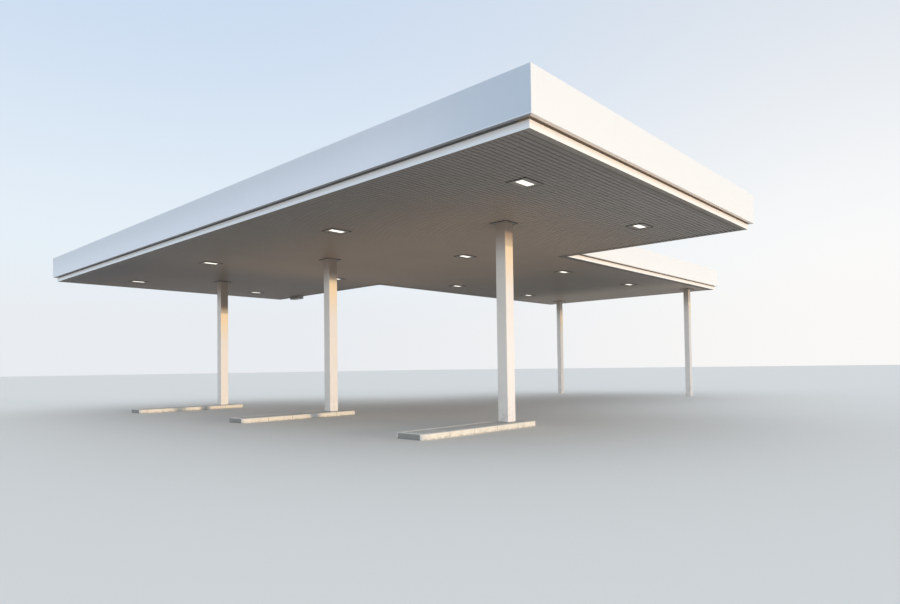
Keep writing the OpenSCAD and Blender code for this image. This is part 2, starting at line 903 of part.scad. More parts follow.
column_1();
column_2();
column_3();
column_4();
column_5();
column_collars();
plinth_kerb_1();
plinth_kerb_2();
plinth_kerb_3();
plinth_infill();
spine_beam();
rafters();
edge_channels();
link_girders();
link_rafters();
purlins();
roof_deck_front();
roof_deck_rear();
roof_deck_link();
ridge_flashings();
gutters();
parapet_liner();
parapet_capping();
fascia_posts();
fascia_front();
fascia_left();
fascia_right();
fascia_rear_left();
fascia_rear_right();
link_fascia_left();
link_fascia_right();
link_fascia_end();
trim_main();
trim_link();
shadow_gap_liner();
soffit_left();
soffit_middle();
soffit_right();
soffit_link();
soffit_margin();
ceiling_rails();
light_housings();
light_lenses();
edge_housing();
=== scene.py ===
"""Filling station canopy: finishes, small fittings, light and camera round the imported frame."""
import math

import bpy
from mathutils import Euler, Matrix, Vector


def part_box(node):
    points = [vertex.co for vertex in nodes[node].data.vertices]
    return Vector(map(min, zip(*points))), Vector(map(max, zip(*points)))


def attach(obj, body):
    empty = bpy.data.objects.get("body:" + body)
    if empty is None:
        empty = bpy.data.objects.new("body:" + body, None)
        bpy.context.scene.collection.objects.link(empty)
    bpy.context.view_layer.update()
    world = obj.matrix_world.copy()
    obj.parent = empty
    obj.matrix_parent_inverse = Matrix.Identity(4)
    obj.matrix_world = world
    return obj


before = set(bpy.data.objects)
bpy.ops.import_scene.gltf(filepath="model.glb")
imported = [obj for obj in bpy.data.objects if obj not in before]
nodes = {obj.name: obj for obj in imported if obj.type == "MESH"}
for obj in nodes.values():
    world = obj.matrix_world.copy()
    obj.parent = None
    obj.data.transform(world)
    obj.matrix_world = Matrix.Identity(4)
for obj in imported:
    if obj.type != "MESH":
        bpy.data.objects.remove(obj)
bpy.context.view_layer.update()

# Camera: metres and degrees, in the canopy's own frame
EYE = Vector((17.281, -19.952, 1.53))
EYE_TURN = 42.547
EYE_LIFT = 1.630
EYE_ROLL = -0.7735
LENS = 25.155
SHIFT_UP = 0.0534

# Sizes of the canopy that its finishes and fittings follow, in metres
SOFFIT_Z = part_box("soffit_margin")[0].z
SOFFIT_FACE_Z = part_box("soffit_middle")[0].z
CAPPING_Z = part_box("parapet_capping")[1].z
FASCIA_LOW_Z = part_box("fascia_front")[0].z
PLINTH_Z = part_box("plinth_kerb_1")[1].z
INFILL_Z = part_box("plinth_infill")[1].z
EDGE_TOP_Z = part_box("edge_channels")[1].z
GUTTER_TOP_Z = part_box("gutters")[1].z
MAIN_LOW, MAIN_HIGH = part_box("trim_main")
LINK_LOW, LINK_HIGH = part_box("trim_link")
MAIN_RIDGE_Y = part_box("column_1")[0].y + 0.160
LINK_RIDGE_X = (LINK_LOW.x + LINK_HIGH.x) / 2.0
SIDE_GROOVE_X = MAIN_HIGH.x - 0.155
# Painted sun line on the columns' sunny faces: how far below the soffit it lies, how much lower it falls deeper
# under the roof, and the reach over which it falls
SUN_LINE_DROP = 0.62
SUN_LINE_FALL = 0.71
SUN_LINE_REACH = MAIN_HIGH.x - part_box("column_1")[1].x
CAPPING_HALF_X = 1.460
CAPPING_HALF_Y = 1.195
GROOVE_PITCH = 0.115
GROOVE_DEPTH = 0.028
GROOVE_EDGE = 0.022, 0.014
MARGIN = 0.240
MARGIN_X = (MAIN_LOW.x + MARGIN, LINK_LOW.x + MARGIN, LINK_HIGH.x - MARGIN, MAIN_HIGH.x - MARGIN)
EDGE_BAND = 0.045
PLANK_FACE = 0.075
PRISM_PITCH = 0.012
DECK_PITCH = 0.250
RIB_MIDDLE = 0.65
GUTTER_MIDDLE = 0.131
GUTTER_SHEET = 0.003
OUTLET_OFF_COLUMN = 0.35
LENS_LAP = 0.015
PLATE_SCREW_IN = 0.022
RIDGE_FLAT_MAIN = 0.095
RIDGE_FLAT_LINK = 0.010
RIDGE_SCREW_IN = 0.108
PURLIN_FIRST = 0.190
PURLIN_LAST_IN = 0.060
PURLIN_GAPS = 4
FRONT_RUN = 4.574
REAR_RUN = 5.154
LINK_RUN = 4.604
MAIN_COLUMNS = "column_1", "column_2", "column_3"

# A row's spacing is a hair short, so that rounding never drops its last form
SLACK = 0.9999


# Node trees

def add_node(tree, kind, inputs=None, **settings):
    """Adds a node, sets its properties and fills its sockets; a plain colour goes in without its alpha."""
    node = tree.nodes.new(kind)
    for name, value in settings.items():
        setattr(node, name, value)
    for name, value in (inputs or {}).items():
        socket = node.inputs[name]
        if isinstance(value, bpy.types.NodeSocket):
            tree.links.new(value, socket)
        elif socket.type == "RGBA":
            socket.default_value = (*value, 1.0)
        else:
            socket.default_value = value
    return node


def new_group(family, name, inputs, outputs):
    """An empty group with named sockets, (name, kind) with or without a default: its tree, start and end."""
    tree = bpy.data.node_groups.new(name, family)
    for label, kind, *default in inputs:
        socket = tree.interface.new_socket(label, in_out="INPUT", socket_type="NodeSocket" + kind)
        for value in default:
            socket.default_value = value
    for label, kind in outputs:
        tree.interface.new_socket(label, in_out="OUTPUT", socket_type="NodeSocket" + kind)
    start = tree.nodes.new("NodeGroupInput")
    end = tree.nodes.new("NodeGroupOutput")
    return tree, start.outputs, end.inputs


def toned(colour, factors):
    """A colour with each part scaled by its own factor."""
    return [part * factor for part, factor in zip(colour, factors)]


class Shading:
    """Adds masks and colours to one shader tree."""

    def __init__(self, tree):
        self.tree = tree

    def add(self, kind, inputs=None, **settings):
        return add_node(self.tree, "ShaderNode" + kind, inputs, **settings)

    def maths(self, operation, *values, clamp=False):
        return self.add("Math", dict(enumerate(values)), operation=operation, use_clamp=clamp).outputs[0]

    def times(self, first, second):
        return self.maths("MULTIPLY", first, second)

    def graded(self, value, factor, start, clamp=False):
        """A start plus a value times a factor."""
        return self.maths("MULTIPLY_ADD", value, factor, start, clamp=clamp)

    def ramp(self, value, low, high):
        """0 below low, 1 above high, smooth between them; low may be above high."""
        inputs = {"Value": value, "From Min": low, "From Max": high}
        return self.add("MapRange", inputs, interpolation_type="SMOOTHSTEP").outputs["Result"]

    def between(self, value, low, high):
        """1 between two places and 0 beyond them, with edges 2 mm wide."""
        return self.times(self.ramp(value, low, low + 0.002), self.ramp(value, high, high - 0.002))

    def mix(self, mask, first, second):
        """Mixes two colours by a mask."""
        return self.add("Mix", {0: mask, 6: first, 7: second}, data_type="RGBA").outputs[2]

    def film(self, under, mask, amount, colour):
        """Lays a colour over another by a mask times an amount."""
        return self.mix(self.times(mask, amount), under, colour)

    def scaled(self, colour, factor):
        return self.add("VectorMath", {0: colour, "Scale": factor}, operation="SCALE").outputs[0]

    def parts(self, vector):
        return self.add("SeparateXYZ", {"Vector": vector}).outputs

    def noise(self, vector, scale, detail, roughness):
        inputs = {"Vector": vector, "Scale": scale, "Detail": detail, "Roughness": roughness}
        return self.add("TexNoise", inputs).outputs["Fac"]

    def effect(self, group, **inputs):
        """Outputs of a shared effect with these inputs."""
        return self.add("Group", inputs, node_tree=group).outputs


# Shared effects

class Effect(Shading):
    """A group of shader nodes that several finishes share."""

    def __init__(self, name, inputs, outputs):
        tree, given, self.result = new_group("ShaderNodeTree", name, inputs, outputs)
        super().__init__(tree)
        self.given = given[:len(inputs)]

    def gives(self, **values):
        """Links the group's outputs and returns its tree."""
        for name, value in values.items():
            self.tree.links.new(value, self.result[name])
        return self.tree


def tone_drift_group():
    """Broad, faint changes of tone, as on sheets from different coils and on cast faces."""
    group = Effect("tone_drift",
                   [("Vector", "Vector"), ("Color", "Color", (0.8, 0.8, 0.8, 1.0)), ("Scale", "Float", 0.6),
                    ("Amount", "Float", 0.04)],
                   [("Color", "Color"), ("Mask", "Float")])
    place, colour, scale, amount = group.given
    broad = group.noise(place, scale, 4.0, 0.55)
    factor = group.graded(group.maths("SUBTRACT", broad, 0.5), amount, 1.0)
    return group.gives(Color=group.scaled(colour, factor), Mask=broad)


def rain_streaks_group():
    """Thin vertical streaks that start at a height and fade out below it."""
    group = Effect("rain_streaks",
                   [("Vector", "Vector"), ("Start", "Float", 6.2), ("Reach", "Float", 0.5),
                    ("Density", "Float", 9.0)],
                   [("Mask", "Float")])
    place, start, reach, density = group.given
    stretched = group.add("VectorMath", {0: place, 1: (1.0, 1.0, 0.06)}, operation="MULTIPLY").outputs[0]
    thin = group.ramp(group.noise(stretched, density, 5.0, 0.6), 0.52, 0.78)
    below = group.maths("SUBTRACT", start, group.parts(place)["Z"])
    share = group.maths("DIVIDE", below, reach, clamp=True)
    return group.gives(Mask=group.times(thin, group.maths("SUBTRACT", 1.0, share)))


def coat_texture_group():
    """Height of a sprayed or rolled coat: fine orange peel with a faint long wave."""
    group = Effect("coat_texture",
                   [("Vector", "Vector"), ("Peel", "Float", 260.0), ("Wave", "Float", 0.8),
                    ("Swell", "Float", 3.0)],
                   [("Height", "Float")])
    place, peel, wave, swell = group.given
    waves = group.noise(place, wave, 1.0, 0.4)
    return group.gives(Height=group.graded(waves, swell, group.noise(place, peel, 2.0, 0.5)))


def dust_group():
    """Dust that lies on faces turned up and gathers in a mottled film."""
    group = Effect("dust",
                   [("Vector", "Vector"), ("Normal", "Vector"), ("Scale", "Float", 4.0),
                    ("Amount", "Float", 0.5)],
                   [("Mask", "Float")])
    place, normal, scale, amount = group.given
    lying = group.ramp(group.parts(normal)["Z"], 0.35, 0.95)
    patches = group.ramp(group.noise(place, scale, 6.0, 0.6), 0.32, 0.72)
    return group.gives(Mask=group.times(group.times(lying, patches), amount))


def joint_lines_group():
    """Thin lines that cross a run at an even pitch, measured along one coordinate."""
    group = Effect("joint_lines",
                   [("Place", "Float", 0.0), ("Pitch", "Float", 0.5), ("Width", "Float", 0.003)],
                   [("Mask", "Float")])
    place, pitch, width = group.given
    away = group.maths("PINGPONG", place, pitch)
    return group.gives(Mask=group.ramp(away, group.times(width, 1.6), width))


TONE_DRIFT = tone_drift_group()
RAIN_STREAKS = rain_streaks_group()
COAT_TEXTURE = coat_texture_group()
DUST = dust_group()
JOINT_LINES = joint_lines_group()


# Finishes

FRONT = "Y", -0.5, -0.8
SUNNY = "X", 0.5, 0.8
TOP = "Z", 0.5, 0.9
UNDER = "Z", -0.5, -0.9


class Finish(Shading):
    """One material: its tree, the surface's own coordinates and its Principled shader."""

    def __init__(self, name, roughness, metallic=0.0, specular=0.5):
        self.material = bpy.data.materials.new(name)
        self.material.use_nodes = True
        super().__init__(self.material.node_tree)
        self.tree.nodes.clear()
        self.roughness = roughness
        numbers = {"Roughness": roughness, "Metallic": metallic, "Specular IOR Level": specular}
        self.shader = self.add("BsdfPrincipled", numbers)
        self.add("OutputMaterial", {"Surface": self.shader.outputs[0]})
        self.place = self.add("TexCoord").outputs["Object"]
        self.normal = self.add("NewGeometry").outputs["Normal"]
        self.x, self.y, self.z = self.parts(self.place)

    def set(self, name, socket):
        self.tree.links.new(socket, self.shader.inputs[name])

    def facing(self, name, low, high):
        """Mask of the faces whose normal has that part between two limits."""
        return self.ramp(self.parts(self.normal)[name], low, high)

    def patches(self, low, high, scale, detail, roughness, stretch=None):
        """Mask of the places where a noise passes from low to high."""
        place = self.place
        if stretch:
            place = self.add("Mapping", {"Vector": place, "Scale": stretch}).outputs["Vector"]
        return self.ramp(self.noise(place, scale, detail, roughness), low, high)

    def drift(self, colour, scale, amount):
        """The colour with its broad drift in tone, and the drift's own mask."""
        outputs = self.effect(TONE_DRIFT, Vector=self.place, Color=colour, Scale=scale, Amount=amount)
        return outputs["Color"], outputs["Mask"]

    def dust(self, amount, scale=4.0):
        return self.effect(DUST, Vector=self.place, Normal=self.normal, Scale=scale, Amount=amount)["Mask"]

    def streaks(self, **inputs):
        return self.effect(RAIN_STREAKS, Vector=self.place, **inputs)["Mask"]

    def joints(self, place, offset, **inputs):
        return self.effect(JOINT_LINES, Place=self.maths("ADD", place, offset), **inputs)["Mask"]

    def bump(self, height, strength, distance):
        node = self.add("Bump", {"Strength": strength, "Distance": distance, "Height": height})
        self.set("Normal", node.outputs["Normal"])

    def peel(self, strength, distance, **inputs):
        """Bump of a sprayed or rolled coat."""
        self.bump(self.effect(COAT_TEXTURE, Vector=self.place, **inputs)["Height"], strength, distance)

    def coated(self, colour, drift=0.035, drift_scale=0.45, streak=0.0, start=CAPPING_Z, reach=0.8, dust=0.35,
               swell=4.0):
        """Coil-coated or sprayed sheet: drifting tone, faint streaks, dust on top and a soft peel."""
        drifted, tone = self.drift(colour, drift_scale, drift)
        dusty = self.dust(dust)
        streaked = self.film(drifted, self.streaks(Start=start, Reach=reach), streak, (0.36, 0.33, 0.29))
        self.set("Base Color", self.mix(dusty, streaked, (0.46, 0.43, 0.38)))
        rough = self.graded(tone, 0.10, self.roughness - 0.05)
        self.set("Roughness", self.graded(dusty, 0.4, rough, clamp=True))
        self.peel(0.25, 0.0006, Swell=swell)
        return self.material


def painted_sheet(name, colour, roughness, specular=0.5, **layers):
    """Sheet of one even colour."""
    return Finish(name, roughness, specular=specular).coated(colour, **layers)


def fascia_coat(name, colour, painted_underside_light):
    """Fascia paint with painted light and shade: a cooler front, painted shade that deepens upwards and towards
    the near corner on the front, a painted highlight along the front's bottom fold, and a painted tone on faces
    turned down.
    """
    coat = Finish(name, 0.36)
    front = coat.facing(*FRONT)
    # Painted light: the front faces take a cooler colour.
    cool = coat.mix(front, colour, toned(colour, (1.015, 1.030, 1.085)))
    rise = coat.ramp(coat.z, FASCIA_LOW_Z, CAPPING_Z)
    # Painted shade: darker and bluer towards the top, mostly on the front.
    film_and_painted_shade = coat.film(cool, rise, coat.graded(front, 0.70, 0.15), toned(colour, (0.857, 0.865, 0.912)))
    # Painted shade on the front towards the near corner.
    corner = coat.ramp(coat.x, 7.6, 12.2)
    shaded = coat.film(film_and_painted_shade, corner, front, toned(colour, (0.721, 0.796, 0.880)))
    # Painted highlight along the front's bottom fold.
    fold = coat.times(coat.ramp(coat.z, FASCIA_LOW_Z + 0.030, FASCIA_LOW_Z + 0.018), front)
    folded = coat.film(shaded, fold, 0.3, toned(colour, (1.19, 1.20, 1.20)))
    # Faces turned down take a painted tone: shade on the shaded copy, sunlight on the sunny copy.
    return coat.coated(coat.mix(coat.facing(*UNDER), folded, painted_underside_light), drift=0.03, streak=0.05)


def trim_coat(name, colour, painted_front_light, painted_top_shade):
    """Trim paint with painted light and shade: a cooler painted front, and painted shade, darker and warmer, at
    the top under the shadow gap.
    """
    coat = Finish(name, 0.36)
    # Painted light: the front faces take a cooler colour.
    sided = coat.mix(coat.facing(*FRONT), colour, painted_front_light)
    # Painted shade at the top, under the shadow gap.
    top = coat.ramp(coat.z, FASCIA_LOW_Z - 0.130, FASCIA_LOW_Z - 0.035)
    return coat.coated(coat.mix(top, sided, painted_top_shade), streak=0.04, start=FASCIA_LOW_Z, reach=0.3)


def capping_coat(name, colour):
    """Capping paint with a sealed butt joint across the run at an even pitch."""
    coat = Finish(name, 0.36)
    runs = (coat.x, CAPPING_HALF_X), (coat.y, CAPPING_HALF_Y)
    joints = coat.maths("MAXIMUM", *(coat.joints(place, half, Pitch=half) for place, half in runs))
    jointed = coat.film(colour, coat.times(joints, coat.facing(*TOP)), 0.8, (0.16, 0.16, 0.16))
    return coat.coated(jointed, drift=0.05, drift_scale=0.8, streak=0.10, dust=0.45, swell=3.0)


def margin_coat(name, colour, groove_colour):
    """Flat soffit margin with painted light and shade: painted shade between the plank ends and in one painted
    groove on each side band, and painted light that makes the side bands and the parts near the sides paler.
    """
    coat = Finish(name, 0.60, specular=0.04)
    across = coat.maths("ABSOLUTE", coat.x)
    # Painted light: paler near the sides, and paler again on each side band.
    corner = coat.ramp(across, SIDE_GROOVE_X - 1.1, SIDE_GROOVE_X - 0.2)
    cornered = coat.mix(corner, colour, toned(colour, (1.15, 1.15, 1.15)))
    side = coat.ramp(across, SIDE_GROOVE_X, SIDE_GROOVE_X + 0.070)
    paler = coat.mix(side, cornered, toned(colour, (1.42, 1.41, 1.39)))
    # Painted shade of one groove along each side band.
    away = coat.maths("ABSOLUTE", coat.maths("SUBTRACT", across, SIDE_GROOVE_X))
    inside = coat.between(coat.y, MAIN_LOW.y + EDGE_BAND, MAIN_HIGH.y - EDGE_BAND)
    groove = coat.times(coat.ramp(away, *GROOVE_EDGE), inside)
    grooved = coat.film(paler, groove, 0.75, groove_colour)
    # Painted shade in the gaps between the plank ends, deeper still at the rear and the link's end.
    off_groove = coat.maths("PINGPONG", coat.x, GROOVE_PITCH / 2.0)
    inner = MAIN_HIGH.x - MARGIN - 0.01
    gaps = coat.times(coat.ramp(off_groove, *GROOVE_EDGE), coat.ramp(across, inner, inner - 0.01))
    front = coat.between(coat.y, MAIN_LOW.y + EDGE_BAND, MAIN_LOW.y + MARGIN + 0.01)
    rear = coat.maths("ADD", *(coat.between(coat.y, high.y - MARGIN - 0.01, high.y - EDGE_BAND)
                               for high in (MAIN_HIGH, LINK_HIGH)))
    fronted = coat.film(grooved, coat.times(gaps, front), 0.75, groove_colour)
    ended = coat.film(fronted, gaps, rear, toned(groove_colour, (0.4, 0.4, 0.4)))
    return coat.coated(ended, drift=0.06, dust=0.0, swell=2.0)


def cavity_coat(name, colour, painted_sun_colour):
    """Dull liner of the shadow gap, with painted sunlight: a warmer tone along the sunny side."""
    coat = Finish(name, 0.6, specular=0.2)
    sunny = coat.ramp(coat.x, MAIN_HIGH.x - 0.30, MAIN_HIGH.x - 0.20)
    return coat.coated(coat.mix(sunny, colour, painted_sun_colour), drift=0.12, drift_scale=2.0, dust=0.3)


def plank_coat(name, colour, groove_colour):
    """Soffit planks: each drifts a little in tone, with broad painted light and shade by place, a painted warm
    reflection in the middle, painted shade on the far left, and groove floors painted a little paler as painted
    light.
    """
    coat = Finish(name, 0.45, specular=0.07)
    across, along = coat.x, coat.y
    plank = coat.maths("FLOOR", coat.maths("DIVIDE", across, GROOVE_PITCH))
    pick = coat.add("TexWhiteNoise", {"W": plank}, noise_dimensions="1D").outputs["Value"]
    # Painted light and shade: broad levels of tone by place along and across the soffit, paler again near the
    # link.
    level = 0.86
    for axis, low, high, change in ((along, -12.0, -6.0, 0.30), (along, -5.0, 5.0, -0.55),
                                    (along, 6.0, 9.5, 0.50), (across, 6.5, 11.0, 0.08)):
        level = coat.graded(coat.ramp(axis, low, high), change, level)
    painted_link_light = coat.times(coat.ramp(across, 3.0, 6.0), coat.ramp(along, 0.0, 4.0))
    level = coat.graded(painted_link_light, 0.20, level)
    # Painted warm reflection over the middle.
    middle = coat.graded(coat.ramp(along, -1.0, 4.0), -0.4, 1.0)
    for axis, low, high in ((across, 11.0, 6.5), (across, -8.5, -2.5), (along, -12.5, -7.5)):
        middle = coat.times(middle, coat.ramp(axis, low, high))
    painted_warm_light = coat.mix(middle, colour, toned(colour, (1.40, 1.19, 1.01)))
    # Painted shade on the far left, darker and bluer towards the front end.
    painted_end_shade = coat.mix(coat.ramp(along, -12.0, -10.0), toned(colour, (0.68, 0.68, 0.74)),
                        toned(colour, (0.83, 0.77, 0.75)))
    painted_left_shade = coat.mix(coat.ramp(across, -2.0, -7.0), painted_warm_light, painted_end_shade)
    tone = coat.times(coat.graded(pick, 0.06, 0.97), level)
    drifted, _ = coat.drift(coat.scaled(painted_left_shade, tone), 0.5, 0.09)
    film = coat.patches(0.45, 0.8, 9.0, 5.0, 0.6, stretch=(1.0, 0.12, 1.0))
    film_and_painted_shade = coat.film(drifted, film, 0.10, groove_colour)
    # Painted light: the groove floors take a colour a little paler than the planks.
    depth = coat.ramp(coat.z, SOFFIT_FACE_Z + 0.001, SOFFIT_FACE_Z + GROOVE_DEPTH - 0.004)
    coat.set("Base Color", coat.film(film_and_painted_shade, depth, 0.85, groove_colour))
    rough = coat.graded(pick, 0.06, coat.roughness - 0.03)
    coat.set("Roughness", coat.graded(film, 0.08, rough))
    coat.peel(0.2, 0.0005, Swell=2.0)
    return coat.material


def column_paint(name, colour, painted_front_light, painted_head_shade):
    """White column paint with painted light and shade: a brighter front, painted warm sun on the sunny faces
    below a painted sun line, painted shade at the head above it; scuffed and dusty at the foot.
    """
    coat = Finish(name, 0.34)
    # Painted light: the front faces take a brighter colour.
    sided = coat.mix(coat.facing(*FRONT), colour, painted_front_light)
    drifted, tone = coat.drift(sided, 1.4, 0.05)
    sunny = coat.facing(*SUNNY)
    # Painted sun line, lower on columns deeper under the roof.
    inwards = coat.maths("SUBTRACT", MAIN_HIGH.x, coat.x)
    share = coat.maths("POWER", coat.maths("DIVIDE", inwards, SUN_LINE_REACH), 4.0)
    above_line = coat.maths("SUBTRACT", coat.z, SOFFIT_Z - SUN_LINE_DROP)
    above_line = coat.graded(share, SUN_LINE_FALL, above_line)
    # Painted sunlight: the sunny faces turn warmer below the sun line.
    painted_sun_warmth = coat.ramp(above_line, -1.4, -0.1)
    painted_warm_light = coat.film(drifted, painted_sun_warmth, sunny, toned(colour, (1.10, 0.94, 0.70)))
    # Painted shadow above the sun line on the sunny faces, and painted shade at the head of the other faces.
    painted_shadow_over_line = coat.times(coat.ramp(above_line, -0.04, 0.05), 0.55)
    painted_shadow_over_line = coat.graded(coat.ramp(above_line, 0.06, 0.30), 0.45, painted_shadow_over_line)
    shaded_head = coat.times(coat.ramp(coat.z, SOFFIT_Z - 1.15, SOFFIT_Z - 0.10),
                             coat.maths("SUBTRACT", 1.0, sunny))
    head = coat.maths("ADD", coat.times(painted_shadow_over_line, sunny), shaded_head)
    painted_head_mixed = coat.mix(head, painted_warm_light, painted_head_shade)
    foot = coat.times(coat.ramp(coat.z, 1.3, PLINTH_Z), coat.patches(0.42, 0.75, 7.0, 6.0, 0.62))
    marks = coat.patches(0.66, 0.74, 5.0, 4.0, 0.7, stretch=(3.0, 3.0, 14.0))
    scuffs = coat.times(marks, coat.ramp(coat.z, 1.7, 0.5))
    streaks = coat.streaks(Start=SOFFIT_Z, Reach=1.6, Density=16.0)
    streaked = coat.film(painted_head_mixed, streaks, 0.06, (0.33, 0.29, 0.25))
    dusty = coat.film(streaked, foot, 0.30, (0.40, 0.36, 0.31))
    coat.set("Base Color", coat.film(dusty, scuffs, 0.45, (0.30, 0.28, 0.27)))
    rough = coat.graded(tone, 0.08, coat.roughness - 0.04)
    coat.set("Roughness", coat.graded(foot, 0.28, rough, clamp=True))
    coat.peel(0.3, 0.0005, Wave=3.0, Swell=2.0)
    return coat.material


def concrete(name, colour, dark, roughness=0.78, speckle=0.5, joints=0.0):
    """Cast concrete: cloudy tone, sand speckle, pinholes, tyre dust along the foot, mortar joints."""
    coat = Finish(name, roughness, specular=0.35)
    cloudy, _ = coat.drift(colour, 2.2, 0.32)
    sand = coat.noise(coat.place, 240.0, 2.0, 0.6)
    grained = coat.film(cloudy, coat.ramp(sand, 0.54, 0.70), 0.25 * speckle, dark)
    blotch = coat.patches(0.50, 0.74, 5.5, 7.0, 0.68)
    blotched = coat.film(grained, blotch, 0.34, dark)
    cells = coat.add("TexVoronoi", {"Vector": coat.place, "Scale": 70.0}).outputs["Distance"]
    holes = coat.ramp(cells, 0.16, 0.07)
    holed = coat.film(blotched, holes, 0.55, dark)
    smear = coat.times(coat.ramp(coat.z, 0.055, 0.0), coat.patches(0.35, 0.65, 12.0, 5.0, 0.6))
    smeared = coat.film(holed, smear, 0.5, (0.14, 0.13, 0.12))
    start = -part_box("plinth_kerb_1")[0].y
    jointed = coat.times(coat.joints(coat.y, start, Pitch=0.42, Width=0.004), joints)
    coat.set("Base Color", coat.mix(jointed, smeared, (0.20, 0.19, 0.175)))
    coat.set("Roughness", coat.graded(blotch, -0.12, roughness + 0.04))
    relief = coat.graded(holes, -0.6, coat.times(sand, 0.4))
    coat.bump(coat.graded(jointed, -1.5, relief), 0.55, 0.0016)
    return coat.material


def galvanised(name, colour):
    """Zinc-coated steel with its crystal pattern and dull white bloom."""
    coat = Finish(name, 0.46, metallic=0.85)
    cells = coat.add("TexVoronoi", {"Vector": coat.place, "Scale": 42.0}).outputs["Color"]
    pick = coat.add("SeparateColor", {"Color": cells}).outputs[0]
    flake = coat.scaled(colour, coat.graded(pick, 0.24, 0.86))
    bloom = coat.patches(0.48, 0.78, 3.2, 6.0, 0.65)
    coat.set("Base Color", coat.film(flake, bloom, 0.45, (0.58, 0.58, 0.57)))
    rough = coat.graded(pick, 0.12, coat.roughness - 0.06)
    coat.set("Roughness", coat.graded(bloom, 0.22, rough))
    coat.bump(pick, 0.15, 0.0004)
    return coat.material


def primer_steel(name, colour):
    """Rolled steel under a dull primer, mottled and marked by handling."""
    coat = Finish(name, 0.55)
    drifted, _ = coat.drift(colour, 1.6, 0.22)
    marks = coat.patches(0.6, 0.72, 6.0, 6.0, 0.7, stretch=(1.0, 1.0, 4.0))
    marked = coat.film(drifted, marks, 0.35, (0.17, 0.15, 0.14))
    dusty = coat.dust(0.6)
    coat.set("Base Color", coat.mix(dusty, marked, (0.40, 0.37, 0.33)))
    coat.set("Roughness", coat.graded(dusty, 0.3, coat.roughness, clamp=True))
    coat.peel(0.35, 0.001, Peel=140.0, Swell=1.0)
    return coat.material


def lit_diffuser(name):
    """Opal diffuser, bright and warm, with a faint prism pattern."""
    coat = Finish(name, 0.4)
    turns = 2.0 * math.pi / PRISM_PITCH
    waves = [coat.maths("SINE", coat.times(axis, turns)) for axis in (coat.x, coat.y)]
    cells = coat.graded(coat.times(*waves), 0.5, 0.5)
    coat.set("Emission Color", coat.mix(cells, (1.0, 0.93, 0.80), (1.0, 0.96, 0.87)))
    coat.shader.inputs["Emission Strength"].default_value = 1.2
    coat.set("Base Color", coat.mix(cells, (0.86, 0.85, 0.82), (0.92, 0.91, 0.88)))
    coat.bump(cells, 0.2, 0.0006)
    return coat.material


def sealant(name, colour):
    """Smooth rubbery sealant with a little dust on it."""
    coat = Finish(name, 0.5)
    mottled, _ = coat.drift(colour, 14.0, 0.3)
    coat.set("Base Color", coat.mix(coat.dust(0.5, scale=20.0), mottled, (0.40, 0.37, 0.33)))
    coat.bump(coat.noise(coat.place, 60.0, 3.0, 0.5), 0.3, 0.001)
    return coat.material


SHELL_WHITE = (0.745, 0.760, 0.775)
TAUPE = (0.268, 0.240, 0.217)
# Groove floors, painted light: a little paler than the planks; also the colour of the planks' faint film
GROOVE_LIGHT_AND_FILM_TAUPE = (0.300, 0.264, 0.233)

# Second colours are painted light on faces turned down: shade under the shaded fascias, sunlight under the
# sunny sides.
fascia_paint = fascia_coat("fascia_paint", SHELL_WHITE, (0.265, 0.262, 0.270))
sunny_fascia_paint = fascia_coat("sunny_fascia_paint", SHELL_WHITE, (0.880, 0.760, 0.660))
capping_paint = capping_coat("capping_paint", SHELL_WHITE)
# The second colour is painted front light, the third painted shade at the top.
trim_paint = trim_coat("trim_paint", (0.858, 0.846, 0.850), (0.875, 0.905, 0.930), (0.800, 0.735, 0.690))
liner_paint = painted_sheet("liner_paint", (0.560, 0.575, 0.585), 0.45, drift=0.08, streak=0.35)
deck_paint = painted_sheet("deck_paint", (0.500, 0.520, 0.535), 0.45, drift=0.12, drift_scale=0.8,
                           streak=0.15, dust=0.6)
# The second colour is painted shade in the painted groove and gaps.
margin_paint = margin_coat("margin_paint", (0.230, 0.204, 0.181), (0.150, 0.128, 0.112))
plate_paint = painted_sheet("plate_paint", (0.290, 0.257, 0.228), 0.36, drift=0.06, drift_scale=1.5, dust=0.0,
                            specular=0.15)
bezel_paint = painted_sheet("bezel_paint", (0.520, 0.450, 0.360), 0.40, drift=0.04, dust=0.0)
housing_paint = painted_sheet("housing_paint", (0.340, 0.310, 0.285), 0.48, drift=0.10, drift_scale=3.0,
                              dust=0.3)
# The second colour is painted sunlight along the sunny side.
cavity_paint = cavity_coat("cavity_paint", (0.260, 0.255, 0.250), (0.420, 0.320, 0.240))
soffit_coat = plank_coat("soffit_coat", TAUPE, GROOVE_LIGHT_AND_FILM_TAUPE)
# Second colours are painted front light, third colours painted shade at the head; the link columns' first
# colour is darker, painted shade.
shaft_paint = column_paint("shaft_paint", (0.865, 0.850, 0.870), (0.955, 0.885, 0.805), (0.395, 0.310, 0.250))
shaded_link_shaft_paint = column_paint("shaded_link_shaft_paint", (0.560, 0.565, 0.590), (0.950, 0.890, 0.830),
                                (0.440, 0.370, 0.310))
kerb_concrete = concrete("kerb_concrete", (0.790, 0.760, 0.700), (0.400, 0.370, 0.330), joints=0.8)
fill_concrete = concrete("fill_concrete", (0.600, 0.575, 0.530), (0.340, 0.320, 0.290), 0.84, speckle=0.8)
zinc = galvanised("zinc", (0.52, 0.53, 0.54))
frame_primer = primer_steel("frame_primer", (0.300, 0.308, 0.322))
diffuser = lit_diffuser("diffuser")
grey_sealant = sealant("grey_sealant", (0.235, 0.230, 0.225))
# Near-black foam: painted shade in the groove ends and at the plates' edges
shade_black_foam = sealant("shade_black_foam", (0.040, 0.037, 0.035))

